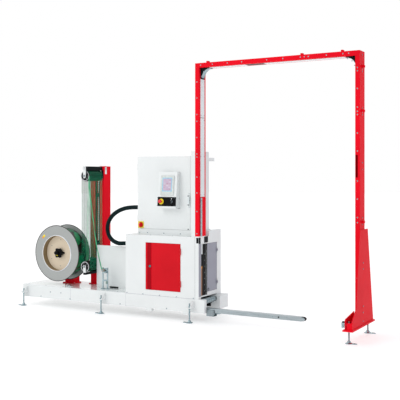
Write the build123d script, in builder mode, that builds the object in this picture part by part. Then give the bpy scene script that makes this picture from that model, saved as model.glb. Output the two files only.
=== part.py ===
from build123d import *

import os
from math import atan2, cos, hypot, pi, sin, tan

# Pallet strapping machine: a low bed with a sliding strap lance, two stacked
# cabinets, a portal arch that carries the strap track, a strap reel and a
# strap accumulator tower. Millimetres. X runs along the bed towards the
# arch's far leg, -Y is the operator's side, +Z is up, the floor is Z = 0.

# ---- driving dimensions ----------------------------------------------------
running_gap = 0.05        # radial play of a shaft in its bore
seat_gap = 0.3            # play of a sliding or rolling face

# bed
bed_length = 2420
bed_width = 512
bed_underside = 99
rail_height = 139
front_rail_width = 45
rear_rail_width = 182
rail_wall = 4
deck_thickness = 3
cross_member_width = 40
cross_member_height = 40
transport_pad_x = (-712, -262)      # blocks under the front rail, for lifting
transport_pad = (72, 28)
foot_insets = (53, 1158, 2271)      # feet, measured from the bed's left end
foot_standoff = 45                  # foot axis, out from the rail's face

# levelling feet
pad_radius = 35
pad_height = 22
lug_reach = 77
lug_width = 34
lug_thickness = 6
lug_hole_radius = 6
rod_radius = 8
rod_top = 200
nut_width = 24
nut_height = 12

# arch
arch_depth = 140
arch_thickness = 44
arch_front = 4                      # behind the bed's front face
arch_top = 2636
arch_leg_bottom = 876
arch_span = 1731                    # over the outside of both legs
arch_left = -112                    # outside of the left leg, from the bed's end
arch_wall = 3
liner_thickness = 2
cover_thickness = 2.5
cover_width = 82
cover_inset = 32
corner_radius = 100

# far leg
plate_thickness = 14
plate_underside = 114
plate_front = -257                  # from the bed's front face
plate_rear = 398
plate_overhang_left = 31
plate_overhang_right = 20
leg_foot_y = (-194, 350)
leg_foot_x = 1584

# lower cabinet and its end frame
cabinet_left = -969
cabinet_top = 868
cabinet_back = 475
sheet = 3
frame_post_front = 50
frame_post_middle = (160, 176)
frame_post_rear = 90
frame_sill = (252, 266)
frame_head = 795
frame_door_sill = 294
frame_riser_front = 217            # the taller rear corner of the end frame
lower_door_x = (-712, -284)
lower_door_z = (297, 790)
door_depth = 20
door_gap = 2

# upper cabinet
plinth_x = (-900, -190)
plinth_y = (130, 468)
plinth_top = 924
upper_x = (-900, -200)
upper_front = 130
upper_back = 430
upper_top = 1698
upper_door_right = -244

# operator console on the upper door
console_x = (-595, -368)
console_z = (1151, 1533)
console_depth = (86, 50)            # at its lower and upper edge
screen_unit = (162, 206, 10)
control_plate = (226, 96, 3)

# column beside the arch
column_x = (-158, -112)
column_y = (4, 294)
column_top = 1743

# lance
lance_width = 50
lance_height = 42
lance_underside = 106
lance_tip = 1067                    # from the bed's end, at rest
lance_length = 1900
lance_y = 49
lance_roller_radius = 17
drive_wheel_radius = 40
drive_wheel_x = -380
support_roller_radius = 15
support_roller_x = 60

# reel
reel_x = -1975
reel_z = 609
reel_radius = 320
reel_opening_radius = 200
reel_front = 70
reel_back = 268
core_wall = 3
coil_radius = 275
shaft_radius = 15

# accumulator tower
tower_front = 380
post_a_x = (-1731, -1668)
post_a_depth = 60
post_a_top = 1432
post_b_x = (-1598, -1543)
post_b_depth = 130
post_b_top = 1602
post_wall = 4
loop_x = -1588
loop_top_z = 1491
loop_bottom_z = 475
loop_roller_radius = 58
loop_roller_y = (92, 352)
axle_radius = 10
strap_width = 15.5
strap_thickness = 0.8
strap_loops_count = 12

# guard panel and guide stand
guard_x = (-1524, -969)
guard_y = (223, 226)
guard_top = 710
stand_x = (-1353, -1291)

# conduit
conduit_diameter = 46

# ---- places ----------------------------------------------------------------
# The origin is on the floor, under the middle of the whole machine.
far_foot_x = leg_foot_x + lug_reach
near_foot_x = -bed_length + foot_insets[0] - lug_reach
X0 = -(far_foot_x + near_foot_x) / 2
Y0 = -(plate_front + bed_width + foot_standoff + pad_radius) / 2


def gx(*values):
    """X of points that are given from the bed's right-hand end."""
    return tuple(X0 + value for value in values)


def gy(*values):
    """Y of points that are given from the bed's front face."""
    return tuple(Y0 + value for value in values)


rail_top = bed_underside + rail_height
deck_top = rail_top + deck_thickness
arch_y = gy(arch_front, arch_front + arch_depth)
arch_x = gx(arch_left, arch_left + arch_span)
lance_y_pair = gy(lance_y, lance_y + lance_width)
lance_top = lance_underside + lance_height


# ---- shapes used more than once --------------------------------------------
def block(x, y, z, mode=Mode.ADD):
    """A rectangular block between the given (low, high) pairs."""
    with Locations((sum(x) / 2, sum(y) / 2, sum(z) / 2)):
        Box(x[1] - x[0], y[1] - y[0], z[1] - z[0], mode=mode)


def round_bar(start, radius, length, along, mode=Mode.ADD):
    """A cylinder that starts at a point and runs along +X, +Y or +Z."""
    turn = {"X": (0, 90, 0), "Y": (-90, 0, 0), "Z": (0, 0, 0)}[along]
    base = (Align.CENTER, Align.CENTER, Align.MIN)
    with Locations(Location(start, turn)):
        Cylinder(radius, length, align=base, mode=mode)


def hinge_knuckles(axis_xy, z, radius=7, length=24, pin=3, gap=0.5):
    """The fixed half of a hinge: two knuckles, and the pin through both."""
    x, y = axis_xy
    round_bar((x, y, z + length / 2 + gap), radius, length * 0.75, "Z")
    round_bar((x, y, z - length / 2 - gap - length * 0.75), radius, length * 0.75, "Z")
    round_bar((x, y, z - length), pin, 2 * length, "Z")


def door_knuckle(axis_xy, z, leaf_x, leaf_y, radius=7, length=24, pin=3):
    """The moving half of a hinge: one bored knuckle with its leaf."""
    x, y = axis_xy
    block(leaf_x, leaf_y, (z - length / 2, z + length / 2))
    round_bar((x, y, z - length / 2), radius, length, "Z")
    bore = pin + running_gap
    round_bar((x, y, z - length / 2), bore, length, "Z", Mode.SUBTRACT)


def keep(piece, name):
    """Labels a finished piece and writes it as its own file."""
    piece.part.label = name
    export_step(piece.part, f"parts/{name}.step")


os.makedirs("parts", exist_ok=True)

# ---- bed -------------------------------------------------------------------
bed_x = gx(-bed_length, 0)
bed_y = gy(0, bed_width)
front_rail_y = gy(0, front_rail_width)
rear_rail_y = gy(bed_width - rear_rail_width, bed_width)
inner_y = (front_rail_y[1], rear_rail_y[0])

with BuildPart() as bed_rails:
    block(bed_x, front_rail_y, (bed_underside, rail_top))
    block((bed_x[0] + rail_wall, bed_x[1] - rail_wall),
          (front_rail_y[0] + rail_wall, front_rail_y[1]),
          (bed_underside + rail_wall, rail_top - rail_wall), Mode.SUBTRACT)
    block(bed_x, rear_rail_y, (bed_underside, rail_top))
    block((bed_x[0] + rail_wall, bed_x[1] - rail_wall),
          (rear_rail_y[0] + rail_wall, rear_rail_y[1] - rail_wall),
          (bed_underside, rail_top - rail_wall), Mode.SUBTRACT)
    for left in transport_pad_x:
        block(gx(left, left + transport_pad[0]), front_rail_y,
              (bed_underside - transport_pad[1], bed_underside))
keep(bed_rails, "bed_rails")

cross_member_x = (-2380, -1800, -1200, -800, -540)
with BuildPart() as bed_cross_members:
    for left in cross_member_x:
        x = gx(left, left + cross_member_width)
        top = (rail_top - cross_member_height, rail_top)
        block(x, inner_y, top)
        block((x[0] + rail_wall, x[1] - rail_wall), inner_y,
              (top[0], top[1] - rail_wall), Mode.SUBTRACT)
keep(bed_cross_members, "bed_cross_members")

deck_x = (bed_x[0], gx(cabinet_left)[0])
with BuildPart() as deck_plate:
    block(deck_x, bed_y, (rail_top, deck_top))
keep(deck_plate, "deck_plate")

# ---- levelling feet and their brackets -------------------------------------
bracket_plate = (150, 158)
bracket_half = 28
bracket_reach = 72
gusset_thickness = 6
gusset_top = 222


def foot_bracket(x, face_y, out):
    """A shelf on a rail's face with one gusset, bored for the foot's rod."""
    y = sorted((face_y, face_y + out * bracket_reach))
    block((x - bracket_half, x + bracket_half), y, bracket_plate)
    rod_y = face_y + out * foot_standoff
    round_bar((x, rod_y, bracket_plate[0]), rod_radius + 0.5,
              bracket_plate[1] - bracket_plate[0], "Z", Mode.SUBTRACT)
    with BuildSketch(Plane.YZ.offset(x + bracket_half - gusset_thickness)) as gusset:
        with BuildLine():
            Polyline((face_y, bracket_plate[1]),
                     (face_y + out * bracket_reach, bracket_plate[1]),
                     (face_y + out * bracket_reach, bracket_plate[1] + 14),
                     (face_y + out * 12, gusset_top),
                     (face_y, gusset_top), close=True)
        make_face()
    extrude(gusset.sketch, amount=gusset_thickness)


def levelling_foot(x, y, lug, shelf):
    """A pad with an anchor lug, a threaded rod and two nuts at a shelf."""
    with Locations((x, y, pad_height / 2)):
        Cone(pad_radius, rod_radius + 6, pad_height)
    block(sorted((x, x + lug * (lug_reach - lug_width / 2))),
          (y - lug_width / 2, y + lug_width / 2), (0, lug_thickness))
    round_bar((x + lug * (lug_reach - lug_width / 2), y, 0), lug_width / 2,
              lug_thickness, "Z")
    round_bar((x + lug * (lug_reach - lug_width / 2), y, 0), lug_hole_radius,
              lug_thickness, "Z", Mode.SUBTRACT)
    round_bar((x, y, pad_height), rod_radius, rod_top - pad_height, "Z")
    for bottom in (shelf[0] - nut_height, shelf[1]):
        with BuildSketch(Plane.XY.offset(bottom)) as nut:
            with Locations((x, y)):
                RegularPolygon(nut_width / 2, 6, major_radius=False)
        extrude(nut.sketch, amount=nut_height)


foot_x = [bed_x[0] + inset for inset in foot_insets]
with BuildPart() as foot_brackets:
    for x in foot_x:
        foot_bracket(x, bed_y[0], -1)
        foot_bracket(x, bed_y[1], 1)
keep(foot_brackets, "foot_brackets")

plate_z = (plate_underside, plate_underside + plate_thickness)
with BuildPart() as levelling_feet:
    for x in foot_x:
        levelling_foot(x, bed_y[0] - foot_standoff, -1, bracket_plate)
        levelling_foot(x, bed_y[1] + foot_standoff, -1, bracket_plate)
    for y in gy(*leg_foot_y):
        levelling_foot(gx(leg_foot_x)[0], y, 1, plate_z)
keep(levelling_feet, "levelling_feet")

# ---- end frame of the lower cabinet ----------------------------------------
frame_x = gx(arch_left, arch_left + arch_thickness)
mid_post_y = gy(*frame_post_middle)
cabinet_y = (bed_y[0], gy(cabinet_back)[0])
door_window_y = (mid_post_y[1], cabinet_y[1] - frame_post_rear)
bay_y = (bed_y[0] + frame_post_front, mid_post_y[0])
window_z = (frame_sill[1], frame_head)
door_window_z = (frame_door_sill, frame_head)
with BuildPart() as end_frame:
    block(frame_x, cabinet_y, (rail_top, cabinet_top))
    block(frame_x, (gy(frame_riser_front)[0], cabinet_y[1]), (cabinet_top, plinth_top))
    block(frame_x, bay_y, window_z, Mode.SUBTRACT)
    block(frame_x, door_window_y, door_window_z, Mode.SUBTRACT)
    block(frame_x, (bay_y[0], door_window_y[1]), (rail_top, frame_sill[0]), Mode.SUBTRACT)
    block(frame_x, arch_y, (cabinet_top, arch_leg_bottom))
keep(end_frame, "end_frame")

# ---- lower cabinet ---------------------------------------------------------
cabinet_x = (gx(cabinet_left)[0], frame_x[0])
cabinet_z = (rail_top, cabinet_top)
lower_x = gx(*lower_door_x)
with BuildPart() as lower_cabinet:
    block(cabinet_x, cabinet_y, cabinet_z)
    block((cabinet_x[0] + sheet, cabinet_x[1]), (cabinet_y[0] + sheet, cabinet_y[1] - sheet),
          (cabinet_z[0], cabinet_z[1] - sheet), Mode.SUBTRACT)
    block((lower_x[0] - door_gap, lower_x[1] + door_gap), (bed_y[0], bed_y[0] + sheet),
          (lower_door_z[0] - door_gap, lower_door_z[1] + door_gap), Mode.SUBTRACT)
keep(lower_cabinet, "lower_cabinet")

hinge_radius = 7
lower_hinge_axis = (lower_x[1] + 1, bed_y[0] - hinge_radius)
lower_hinge_z = (lower_door_z[0] + 80, lower_door_z[1] - 80)
lock_radius = 11
lower_lock = (lower_x[0] + 54, (lower_door_z[0] + lower_door_z[1]) / 2)
with BuildPart() as lower_door:
    block(lower_x, (bed_y[0], bed_y[0] + door_depth), lower_door_z)
    block((lower_x[0] + sheet, lower_x[1] - sheet), (bed_y[0] + sheet, bed_y[0] + door_depth),
          (lower_door_z[0] + sheet, lower_door_z[1] - sheet), Mode.SUBTRACT)
    round_bar((lower_lock[0], bed_y[0], lower_lock[1]), lock_radius - 3 + running_gap,
              sheet, "Y", Mode.SUBTRACT)
    for z in lower_hinge_z:
        door_knuckle(lower_hinge_axis, z, (lower_x[1] - 22, lower_x[1]),
                     (bed_y[0] - 2, bed_y[0]))
keep(lower_door, "lower_door")

with BuildPart() as lower_door_lock:
    round_bar((lower_lock[0], bed_y[0] - 5 - seat_gap, lower_lock[1]), lock_radius, 5, "Y")
    round_bar((lower_lock[0], bed_y[0] - seat_gap - 1, lower_lock[1]), lock_radius - 3,
              door_depth + 6, "Y")
    block((lower_lock[0] - 9, lower_lock[0] + 9),
          (bed_y[0] + door_depth + 1, bed_y[0] + door_depth + 5),
          (lower_lock[1] - 62, lower_lock[1] + 9))
    block((lower_lock[0] - 1.5, lower_lock[0] + 1.5), (bed_y[0] - 6, bed_y[0] - 4),
          (lower_lock[1] - 6, lower_lock[1] + 6), Mode.SUBTRACT)
keep(lower_door_lock, "lower_door_lock")

# side door in the end frame, hinged at its rear edge
side_y = (door_window_y[0] + door_gap, door_window_y[1] - door_gap)
side_z = (door_window_z[0] + door_gap, door_window_z[1] - door_gap)
side_face = frame_x[1]
side_depth = 16
side_hinge_axis = (side_face + hinge_radius, side_y[1] + 1)
side_hinge_z = (side_z[0] + 80, side_z[1] - 80)
with BuildPart() as side_door:
    block((side_face - side_depth, side_face), side_y, side_z)
    block((side_face - side_depth, side_face - sheet), (side_y[0] + sheet, side_y[1] - sheet),
          (side_z[0] + sheet, side_z[1] - sheet), Mode.SUBTRACT)
    for z in side_hinge_z:
        door_knuckle(side_hinge_axis, z, (side_face, side_face + 2),
                     (side_y[1] - 22, side_y[1]))
    round_bar((side_face, side_y[0] + 26, side_z[0] + 22), 9, 2.5, "X")
keep(side_door, "side_door")

# ---- plinth and upper cabinet ----------------------------------------------
plinth = (gx(*plinth_x), gy(*plinth_y), (cabinet_top, plinth_top))
with BuildPart() as cabinet_plinth:
    block(*plinth)
    block((plinth[0][0] + sheet, plinth[0][1] - sheet), (plinth[1][0] + sheet, plinth[1][1] - sheet),
          (plinth[2][0], plinth[2][1] - sheet), Mode.SUBTRACT)
keep(cabinet_plinth, "cabinet_plinth")

upper_cab_x = gx(*upper_x)
upper_y = gy(upper_front + door_depth, upper_back)
upper_z = (plinth_top, upper_top)
door_x = gx(upper_x[0], upper_door_right)
door_y = gy(upper_front, upper_front + door_depth)
door_z = (plinth_top + door_gap, upper_top - 1)
with BuildPart() as upper_cabinet:
    block(upper_cab_x, upper_y, upper_z)
    block((upper_cab_x[0] + sheet, upper_cab_x[1] - sheet), (upper_y[0], upper_y[1] - sheet),
          (upper_z[0] + sheet, upper_z[1] - sheet), Mode.SUBTRACT)
    block((door_x[1] + door_gap, upper_cab_x[1]), door_y, upper_z)
keep(upper_cabinet, "upper_cabinet")

upper_hinge_axis = (door_x[0] - hinge_radius, door_y[0] + 13)
upper_hinge_z = (door_z[0] + 110, door_z[1] - 110)
handle_x = door_x[1] - 10
handle_z = (1179, 1293)
switch_x = door_x[0] + 42
switch_z = 967
switch_bore = 9
with BuildPart() as upper_door:
    block(door_x, (door_y[0], door_y[1] - seat_gap), door_z)
    block((door_x[0] + sheet, door_x[1] - sheet), (door_y[0] + sheet, door_y[1]),
          (door_z[0] + sheet, door_z[1] - sheet), Mode.SUBTRACT)
    round_bar((handle_x, door_y[0], sum(handle_z) / 2), 6 + running_gap, sheet, "Y",
              Mode.SUBTRACT)
    round_bar((switch_x, door_y[0], switch_z), switch_bore, sheet, "Y", Mode.SUBTRACT)
    for z in upper_hinge_z:
        door_knuckle(upper_hinge_axis, z, (door_x[0] - 2, door_x[0]),
                     (door_y[0] + 1, door_y[0] + 18))
keep(upper_door, "upper_door")

with BuildPart() as door_hinges:
    for z in lower_hinge_z:
        hinge_knuckles(lower_hinge_axis, z)
        for low in (z - 30.5, z + 12.5):
            block((lower_x[1] + door_gap, lower_x[1] + 24), (bed_y[0] - 2, bed_y[0]), (low, low + 18))
    for z in side_hinge_z:
        hinge_knuckles(side_hinge_axis, z)
        for low in (z - 30.5, z + 12.5):
            block((side_face, side_face + 2), (side_y[1] + door_gap, side_y[1] + 24), (low, low + 18))
    for z in upper_hinge_z:
        hinge_knuckles(upper_hinge_axis, z)
        for low in (z - 30.5, z + 12.5):
            block((door_x[0] - 2, door_x[0]), (upper_y[0], upper_y[0] + 20), (low, low + 18))
            block((upper_hinge_axis[0] - 1, door_x[0] - 1), (upper_hinge_axis[1], upper_y[0] + 4),
                  (low, low + 18))
keep(door_hinges, "door_hinges")

with BuildPart() as door_handle:
    round_bar((handle_x, door_y[0] - 22, sum(handle_z) / 2), 6, 30, "Y")
    block((handle_x - 8, handle_x + 8), (door_y[0] - 26, door_y[0] - 14), handle_z)
    fillet(door_handle.edges().filter_by(Axis.Z), 3)
keep(door_handle, "door_handle")

# main switch on the door: yellow plate and red rotary handle
switch_half = 36
with BuildPart() as main_switch_plate:
    block((switch_x - switch_half, switch_x + switch_half), (door_y[0] - 4, door_y[0]),
          (switch_z - switch_half, switch_z + switch_half))
    round_bar((switch_x, door_y[0] - 4, switch_z), switch_bore, 4, "Y", Mode.SUBTRACT)
keep(main_switch_plate, "main_switch_plate")

with BuildPart() as main_switch_knob:
    round_bar((switch_x, door_y[0] - 12, switch_z), 26, 12 - 4 - seat_gap, "Y")
    block((switch_x - 7, switch_x + 7), (door_y[0] - 34, door_y[0] - 12),
          (switch_z - 24, switch_z + 24))
    round_bar((switch_x, door_y[0] - 12, switch_z), switch_bore - running_gap, 24, "Y")
keep(main_switch_knob, "main_switch_knob")

# mounting plate with the control gear inside the upper cabinet
gear_rows = ((1070, 6, 78, 90, 70), (1250, 9, 52, 86, 62), (1425, 4, 118, 110, 90))
gear_plate_y = (upper_y[1] - sheet - 12, upper_y[1] - sheet - 9)
with BuildPart() as control_gear:
    block((upper_cab_x[0] + 40, upper_cab_x[1] - 40), gear_plate_y, (plinth_top + 60, upper_top - 60))
    for x in (upper_cab_x[0] + 70, upper_cab_x[1] - 70):
        for z in (plinth_top + 90, upper_top - 90):
            round_bar((x, gear_plate_y[1], z), 8, 9, "Y")
    for z in (1080, 1260, 1440):
        block((upper_cab_x[0] + 80, upper_cab_x[1] - 80), (gear_plate_y[0] - 8, gear_plate_y[0]),
              (z, z + 35))
    for low, count, pitch, height, depth in gear_rows:
        for i in range(count):
            x = upper_cab_x[0] + 90 + i * pitch
            block((x, x + pitch - 8), (gear_plate_y[0] - 8 - depth, gear_plate_y[0] - 8),
                  (low - 20, low - 20 + height))
keep(control_gear, "control_gear")

# ---- operator console ------------------------------------------------------
con_x = gx(*console_x)
face_rise = console_z[1] - console_z[0]
tilt = atan2(console_depth[0] - console_depth[1], face_rise)
plate_margin = 24                   # from the console's lower edge
plate_middle = plate_margin + control_plate[1] / 2
screen_gap = 19                     # between the control plate and the screen unit
con_middle = sum(con_x) / 2
estop_x = con_middle - 66
selector_x = con_middle + 58
estop_stem = 11
selector_stem = 8


def console_plane(x, along, proud=0):
    """A plane on the console's sloping face, `along` mm above its lower edge."""
    y = door_y[0] - console_depth[0] + along * sin(tilt) - proud * cos(tilt)
    z = console_z[0] + along * cos(tilt) + proud * sin(tilt)
    return Plane(origin=(x, y, z), x_dir=(1, 0, 0), z_dir=(0, -cos(tilt), sin(tilt)))


with BuildPart() as console:
    with BuildSketch(Plane.YZ.offset(con_x[0])):
        with BuildLine():
            Polyline((door_y[0], console_z[0]), (door_y[0] - console_depth[0], console_z[0]),
                     (door_y[0] - console_depth[1], console_z[1]), (door_y[0], console_z[1]),
                     close=True)
        make_face()
    extrude(amount=con_x[1] - con_x[0])
    with BuildSketch(Plane.YZ.offset(con_x[0] + sheet)):
        with BuildLine():
            Polyline((door_y[0], console_z[0] + sheet),
                     (door_y[0] - console_depth[0] + sheet, console_z[0] + sheet),
                     (door_y[0] - console_depth[1] + sheet, console_z[1] - sheet),
                     (door_y[0], console_z[1] - sheet), close=True)
        make_face()
    extrude(amount=con_x[1] - con_x[0] - 2 * sheet, mode=Mode.SUBTRACT)
    for x, radius in ((estop_x, estop_stem), (selector_x, selector_stem)):
        with BuildSketch(console_plane(x, plate_middle)):
            Circle(radius + running_gap)
        extrude(amount=-10, mode=Mode.SUBTRACT)
keep(console, "console")


with BuildPart() as control_panel:
    with BuildSketch(console_plane(con_middle, plate_middle)):
        RectangleRounded(control_plate[0], control_plate[1], 4)
        for x, radius in ((estop_x, estop_stem), (selector_x, selector_stem)):
            with Locations((x - con_middle, 0)):
                Circle(radius + running_gap, mode=Mode.SUBTRACT)
    extrude(amount=control_plate[2])
keep(control_panel, "control_panel")

screen_middle = plate_middle + (control_plate[1] + screen_unit[1]) / 2 + screen_gap
with BuildPart() as touch_panel:
    with BuildSketch(console_plane(con_middle, screen_middle)):
        RectangleRounded(screen_unit[0], screen_unit[1], 7)
    extrude(amount=screen_unit[2])
    with BuildSketch(console_plane(con_middle, screen_middle + 8, screen_unit[2])):
        Rectangle(screen_unit[0] - 44, screen_unit[1] - 62)
    extrude(amount=-2, mode=Mode.SUBTRACT)
keep(touch_panel, "touch_panel")

collar_height = 5
with BuildPart() as estop_collar:
    with BuildSketch(console_plane(estop_x, plate_middle, control_plate[2])):
        Circle(30)
        Circle(estop_stem + running_gap, mode=Mode.SUBTRACT)
    extrude(amount=collar_height)
keep(estop_collar, "estop_collar")

estop_travel = 5
estop_neck = 16                     # between the collar and the mushroom head
stem_depth = 12                     # of a button's stem behind the console's face
with BuildPart() as estop_button:
    with BuildSketch(console_plane(estop_x, plate_middle, -stem_depth)):
        Circle(estop_stem)
    extrude(amount=stem_depth + control_plate[2] + collar_height + estop_travel + estop_neck + 4)
    with BuildSketch(console_plane(estop_x, plate_middle, control_plate[2] + collar_height
                                   + estop_travel + estop_neck + 1)):
        Circle(20)
    extrude(amount=14)
    fillet(estop_button.edges().filter_by(GeomType.CIRCLE).sort_by(Axis.Y)[0], 4)
keep(estop_button, "estop_button")

with BuildPart() as selector_switch:
    with BuildSketch(console_plane(selector_x, plate_middle, -stem_depth)):
        Circle(selector_stem)
    extrude(amount=stem_depth + control_plate[2] + 4)
    with BuildSketch(console_plane(selector_x, plate_middle, control_plate[2] + seat_gap)):
        Circle(15)
    extrude(amount=7)
    with BuildSketch(console_plane(selector_x, plate_middle, control_plate[2] + 7)):
        SlotOverall(26, 9, rotation=90)
    extrude(amount=14)
keep(selector_switch, "selector_switch")

# ---- column beside the arch ------------------------------------------------
col_x = gx(*column_x)
col_y = gy(*column_y)
with BuildPart() as side_column:
    block(col_x, col_y, (cabinet_top, column_top))
    block((col_x[0] + sheet, col_x[1] - sheet), (col_y[0] + sheet, col_y[1]),
          (cabinet_top, column_top - sheet), Mode.SUBTRACT)
    block((col_x[1] - 24, col_x[1]), (col_y[1], gy(411)[0]), (1647, 1682))
keep(side_column, "side_column")

# ---- arch ------------------------------------------------------------------
leg_z = (arch_leg_bottom, arch_top - arch_thickness)
far_leg_z = (plate_z[1], arch_top - arch_thickness)
left_leg_x = (arch_x[0], arch_x[0] + arch_thickness)
right_leg_x = (arch_x[1] - arch_thickness, arch_x[1])
beam_z = (arch_top - arch_thickness, arch_top)
inner_span = (left_leg_x[1], right_leg_x[0])
track_y = (arch_y[0] + arch_wall, arch_y[1] - arch_wall)

with BuildPart() as arch_left_leg:
    block((left_leg_x[0], left_leg_x[1] - liner_thickness), arch_y, leg_z)
    block((left_leg_x[0] + arch_wall, left_leg_x[1]), track_y,
          (leg_z[0] + arch_wall, leg_z[1]), Mode.SUBTRACT)
keep(arch_left_leg, "arch_left_leg")

with BuildPart() as arch_right_leg:
    block((right_leg_x[0] + liner_thickness, right_leg_x[1]), arch_y, far_leg_z)
    block((right_leg_x[0], right_leg_x[1] - arch_wall), track_y,
          (far_leg_z[0] + arch_wall, far_leg_z[1]), Mode.SUBTRACT)
    block((right_leg_x[0], right_leg_x[0] + 24), (arch_y[0], track_y[0]), (1477, 1682),
          Mode.SUBTRACT)
keep(arch_right_leg, "arch_right_leg")

with BuildPart() as arch_top_beam:
    block(arch_x, arch_y, beam_z)
    block((arch_x[0] + arch_wall, arch_x[1] - arch_wall), track_y,
          (beam_z[0], beam_z[1] - arch_wall), Mode.SUBTRACT)
    for x in (left_leg_x, right_leg_x):
        block(x, arch_y, (beam_z[0], beam_z[0] + arch_wall))
keep(arch_top_beam, "arch_top_beam")

liner_z = beam_z[0] - liner_thickness
with BuildPart() as arch_liners:
    block((left_leg_x[1] - liner_thickness, left_leg_x[1]), arch_y, (leg_z[0], leg_z[1]))
    block((right_leg_x[0], right_leg_x[0] + liner_thickness), arch_y, far_leg_z)
    block(inner_span, arch_y, (liner_z, beam_z[0]))
keep(arch_liners, "arch_liners")

cover_y = (arch_y[0] + cover_inset, arch_y[0] + cover_inset + cover_width)
leg_cover_z = ((1278, 2082), (2086, 2477))
far_cover_z = ((300, 1080), (1084, 1880), (1884, 2477))
beam_cover_x = (gx(35, 440), gx(640, 1460))
with BuildPart() as arch_covers:
    for z in leg_cover_z:
        block((left_leg_x[1], left_leg_x[1] + cover_thickness), cover_y, z)
    for z in far_cover_z:
        block((right_leg_x[0] - cover_thickness, right_leg_x[0]), cover_y, z)
    for x in beam_cover_x:
        block(x, cover_y, (liner_z - cover_thickness, liner_z))
    block((right_leg_x[0] + 5, right_leg_x[1] - 2), (arch_y[0] - 4, arch_y[0]), (652, 1044))
keep(arch_covers, "arch_covers")

# lower strap guide on the near leg and down through the end frame
guide_y = (bay_y[0] + 2, bay_y[0] + 32)
with BuildPart() as strap_guides:
    block((left_leg_x[1], left_leg_x[1] + 9), (arch_y[0] + 24, arch_y[0] + 56), (leg_z[0], 1270))
    block((left_leg_x[1], left_leg_x[1] + 5), (arch_y[0] + 57, arch_y[1] - 3), (leg_z[0], 1270))
    block((frame_x[0] + 12, frame_x[1] - 6), guide_y, (frame_sill[1], frame_head))
    block((frame_x[1] - 9, frame_x[1] - 6), (guide_y[1], guide_y[1] + 34),
          (frame_sill[1], frame_head))
    for x, side in ((inner_span[0], 1), (inner_span[1], -1)):
        with BuildSketch(Plane.XZ.offset(-cover_y[0])):
            with BuildLine():
                Polyline((x, liner_z - corner_radius), (x, liner_z), (x + side * corner_radius, liner_z))
                RadiusArc((x + side * corner_radius, liner_z), (x, liner_z - corner_radius),
                          -side * corner_radius)
            make_face()
        extrude(amount=-cover_width)
keep(strap_guides, "strap_guides")

tab_length = 30
tab_depth = 40
tab_thickness = 22
tab_y = (arch_y[0] + 50, arch_y[0] + 50 + tab_depth)
with BuildPart() as arch_tabs:
    for z in (2086, 2485):
        block((left_leg_x[0] - tab_length, left_leg_x[0]), tab_y, (z, z + tab_thickness))
    for z in (1059, 2076, 2485):
        block((right_leg_x[1], right_leg_x[1] + tab_length - 8), tab_y, (z, z + tab_thickness))
    for x in gx(-10, 1017, 1420):
        block((x, x + tab_thickness), tab_y, (arch_top, arch_top + tab_length - 6))
keep(arch_tabs, "arch_tabs")

# ---- far leg's base --------------------------------------------------------
plate_x = (right_leg_x[0] - plate_overhang_left, right_leg_x[1] + plate_overhang_right)
plate_y = gy(plate_front, plate_rear)
gusset_x = right_leg_x[1]
with BuildPart() as leg_base:
    block(plate_x, plate_y, plate_z)
    for y in gy(*leg_foot_y):
        round_bar((gx(leg_foot_x)[0], y, plate_z[0]), rod_radius + 0.5, plate_thickness, "Z",
                  Mode.SUBTRACT)
    with BuildSketch(Plane.YZ.offset(gusset_x)):
        with BuildLine():
            Polyline(gy(-236) + (plate_z[1],), gy(-236) + (plate_z[1] + 70,),
                     gy(-120) + (plate_z[1] + 165,), gy(-66) + (640,), gy(-15) + (1000,),
                     gy(215) + (1000,), gy(378) + (plate_z[1] + 20,), gy(378) + (plate_z[1],),
                     close=True)
        make_face()
    extrude(amount=8)
    with BuildSketch(Plane.YZ.offset(right_leg_x[0] - 16)):
        with BuildLine():
            Polyline((gy(-236)[0], plate_z[1]), (gy(-236)[0], plate_z[1] + 92),
                     (arch_y[0], plate_z[1] + 130), (arch_y[0], plate_z[1]), close=True)
        make_face()
    extrude(amount=8)
    for y in ((gy(-236)[0], gy(-228)[0]), (gy(300)[0], gy(308)[0])):
        block((right_leg_x[0], gusset_x), y, (plate_z[1], plate_z[1] + 60))
keep(leg_base, "leg_base")

# ---- lance -----------------------------------------------------------------
tip_x = gx(lance_tip)[0]
tail_x = tip_x - lance_length
roller_x = tip_x - lance_roller_radius
beam_end = roller_x - lance_roller_radius - 4
lance_middle = (lance_underside + lance_top) / 2
cheek = 5
with BuildPart() as lance_beam:
    block((tail_x, beam_end), lance_y_pair, (lance_underside, lance_top))
    block((tail_x, beam_end - 6), (lance_y_pair[0] + 5, lance_y_pair[1] - 5),
          (lance_underside + 5, lance_top - 5), Mode.SUBTRACT)
    for z in (lance_underside + 10, lance_top - 18):
        for y in ((lance_y_pair[0], lance_y_pair[0] + 2), (lance_y_pair[1] - 2, lance_y_pair[1])):
            block((tail_x, beam_end - 12), y, (z, z + 8), Mode.SUBTRACT)
    for y in (lance_y_pair[0], lance_y_pair[1] - cheek):
        block((beam_end, roller_x), (y, y + cheek), (lance_underside + 3, lance_top - 3))
        round_bar((roller_x, y, lance_middle), lance_height / 2 - 6, cheek, "Y")
    round_bar((roller_x, lance_y_pair[0], lance_middle), 5, lance_width, "Y")
keep(lance_beam, "lance_beam")

with BuildPart() as lance_tip_roller:
    round_bar((roller_x, lance_y_pair[0] + cheek + 1, lance_middle), lance_roller_radius,
              lance_width - 2 * cheek - 2, "Y")
    round_bar((roller_x, lance_y_pair[0], lance_middle), 5 + running_gap, lance_width, "Y",
              Mode.SUBTRACT)
keep(lance_tip_roller, "lance_tip_roller")

# channel inside the bed that carries the lance
guide_wall = 6
with BuildPart() as lance_guide:
    block(gx(-2000, -4), (inner_y[0], lance_y_pair[1] + 1 + guide_wall),
          (bed_underside, lance_underside - seat_gap))
    block(gx(-2000, -4), (lance_y_pair[1] + 1, lance_y_pair[1] + 1 + guide_wall),
          (lance_underside - seat_gap, 140))
keep(lance_guide, "lance_guide")

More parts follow.
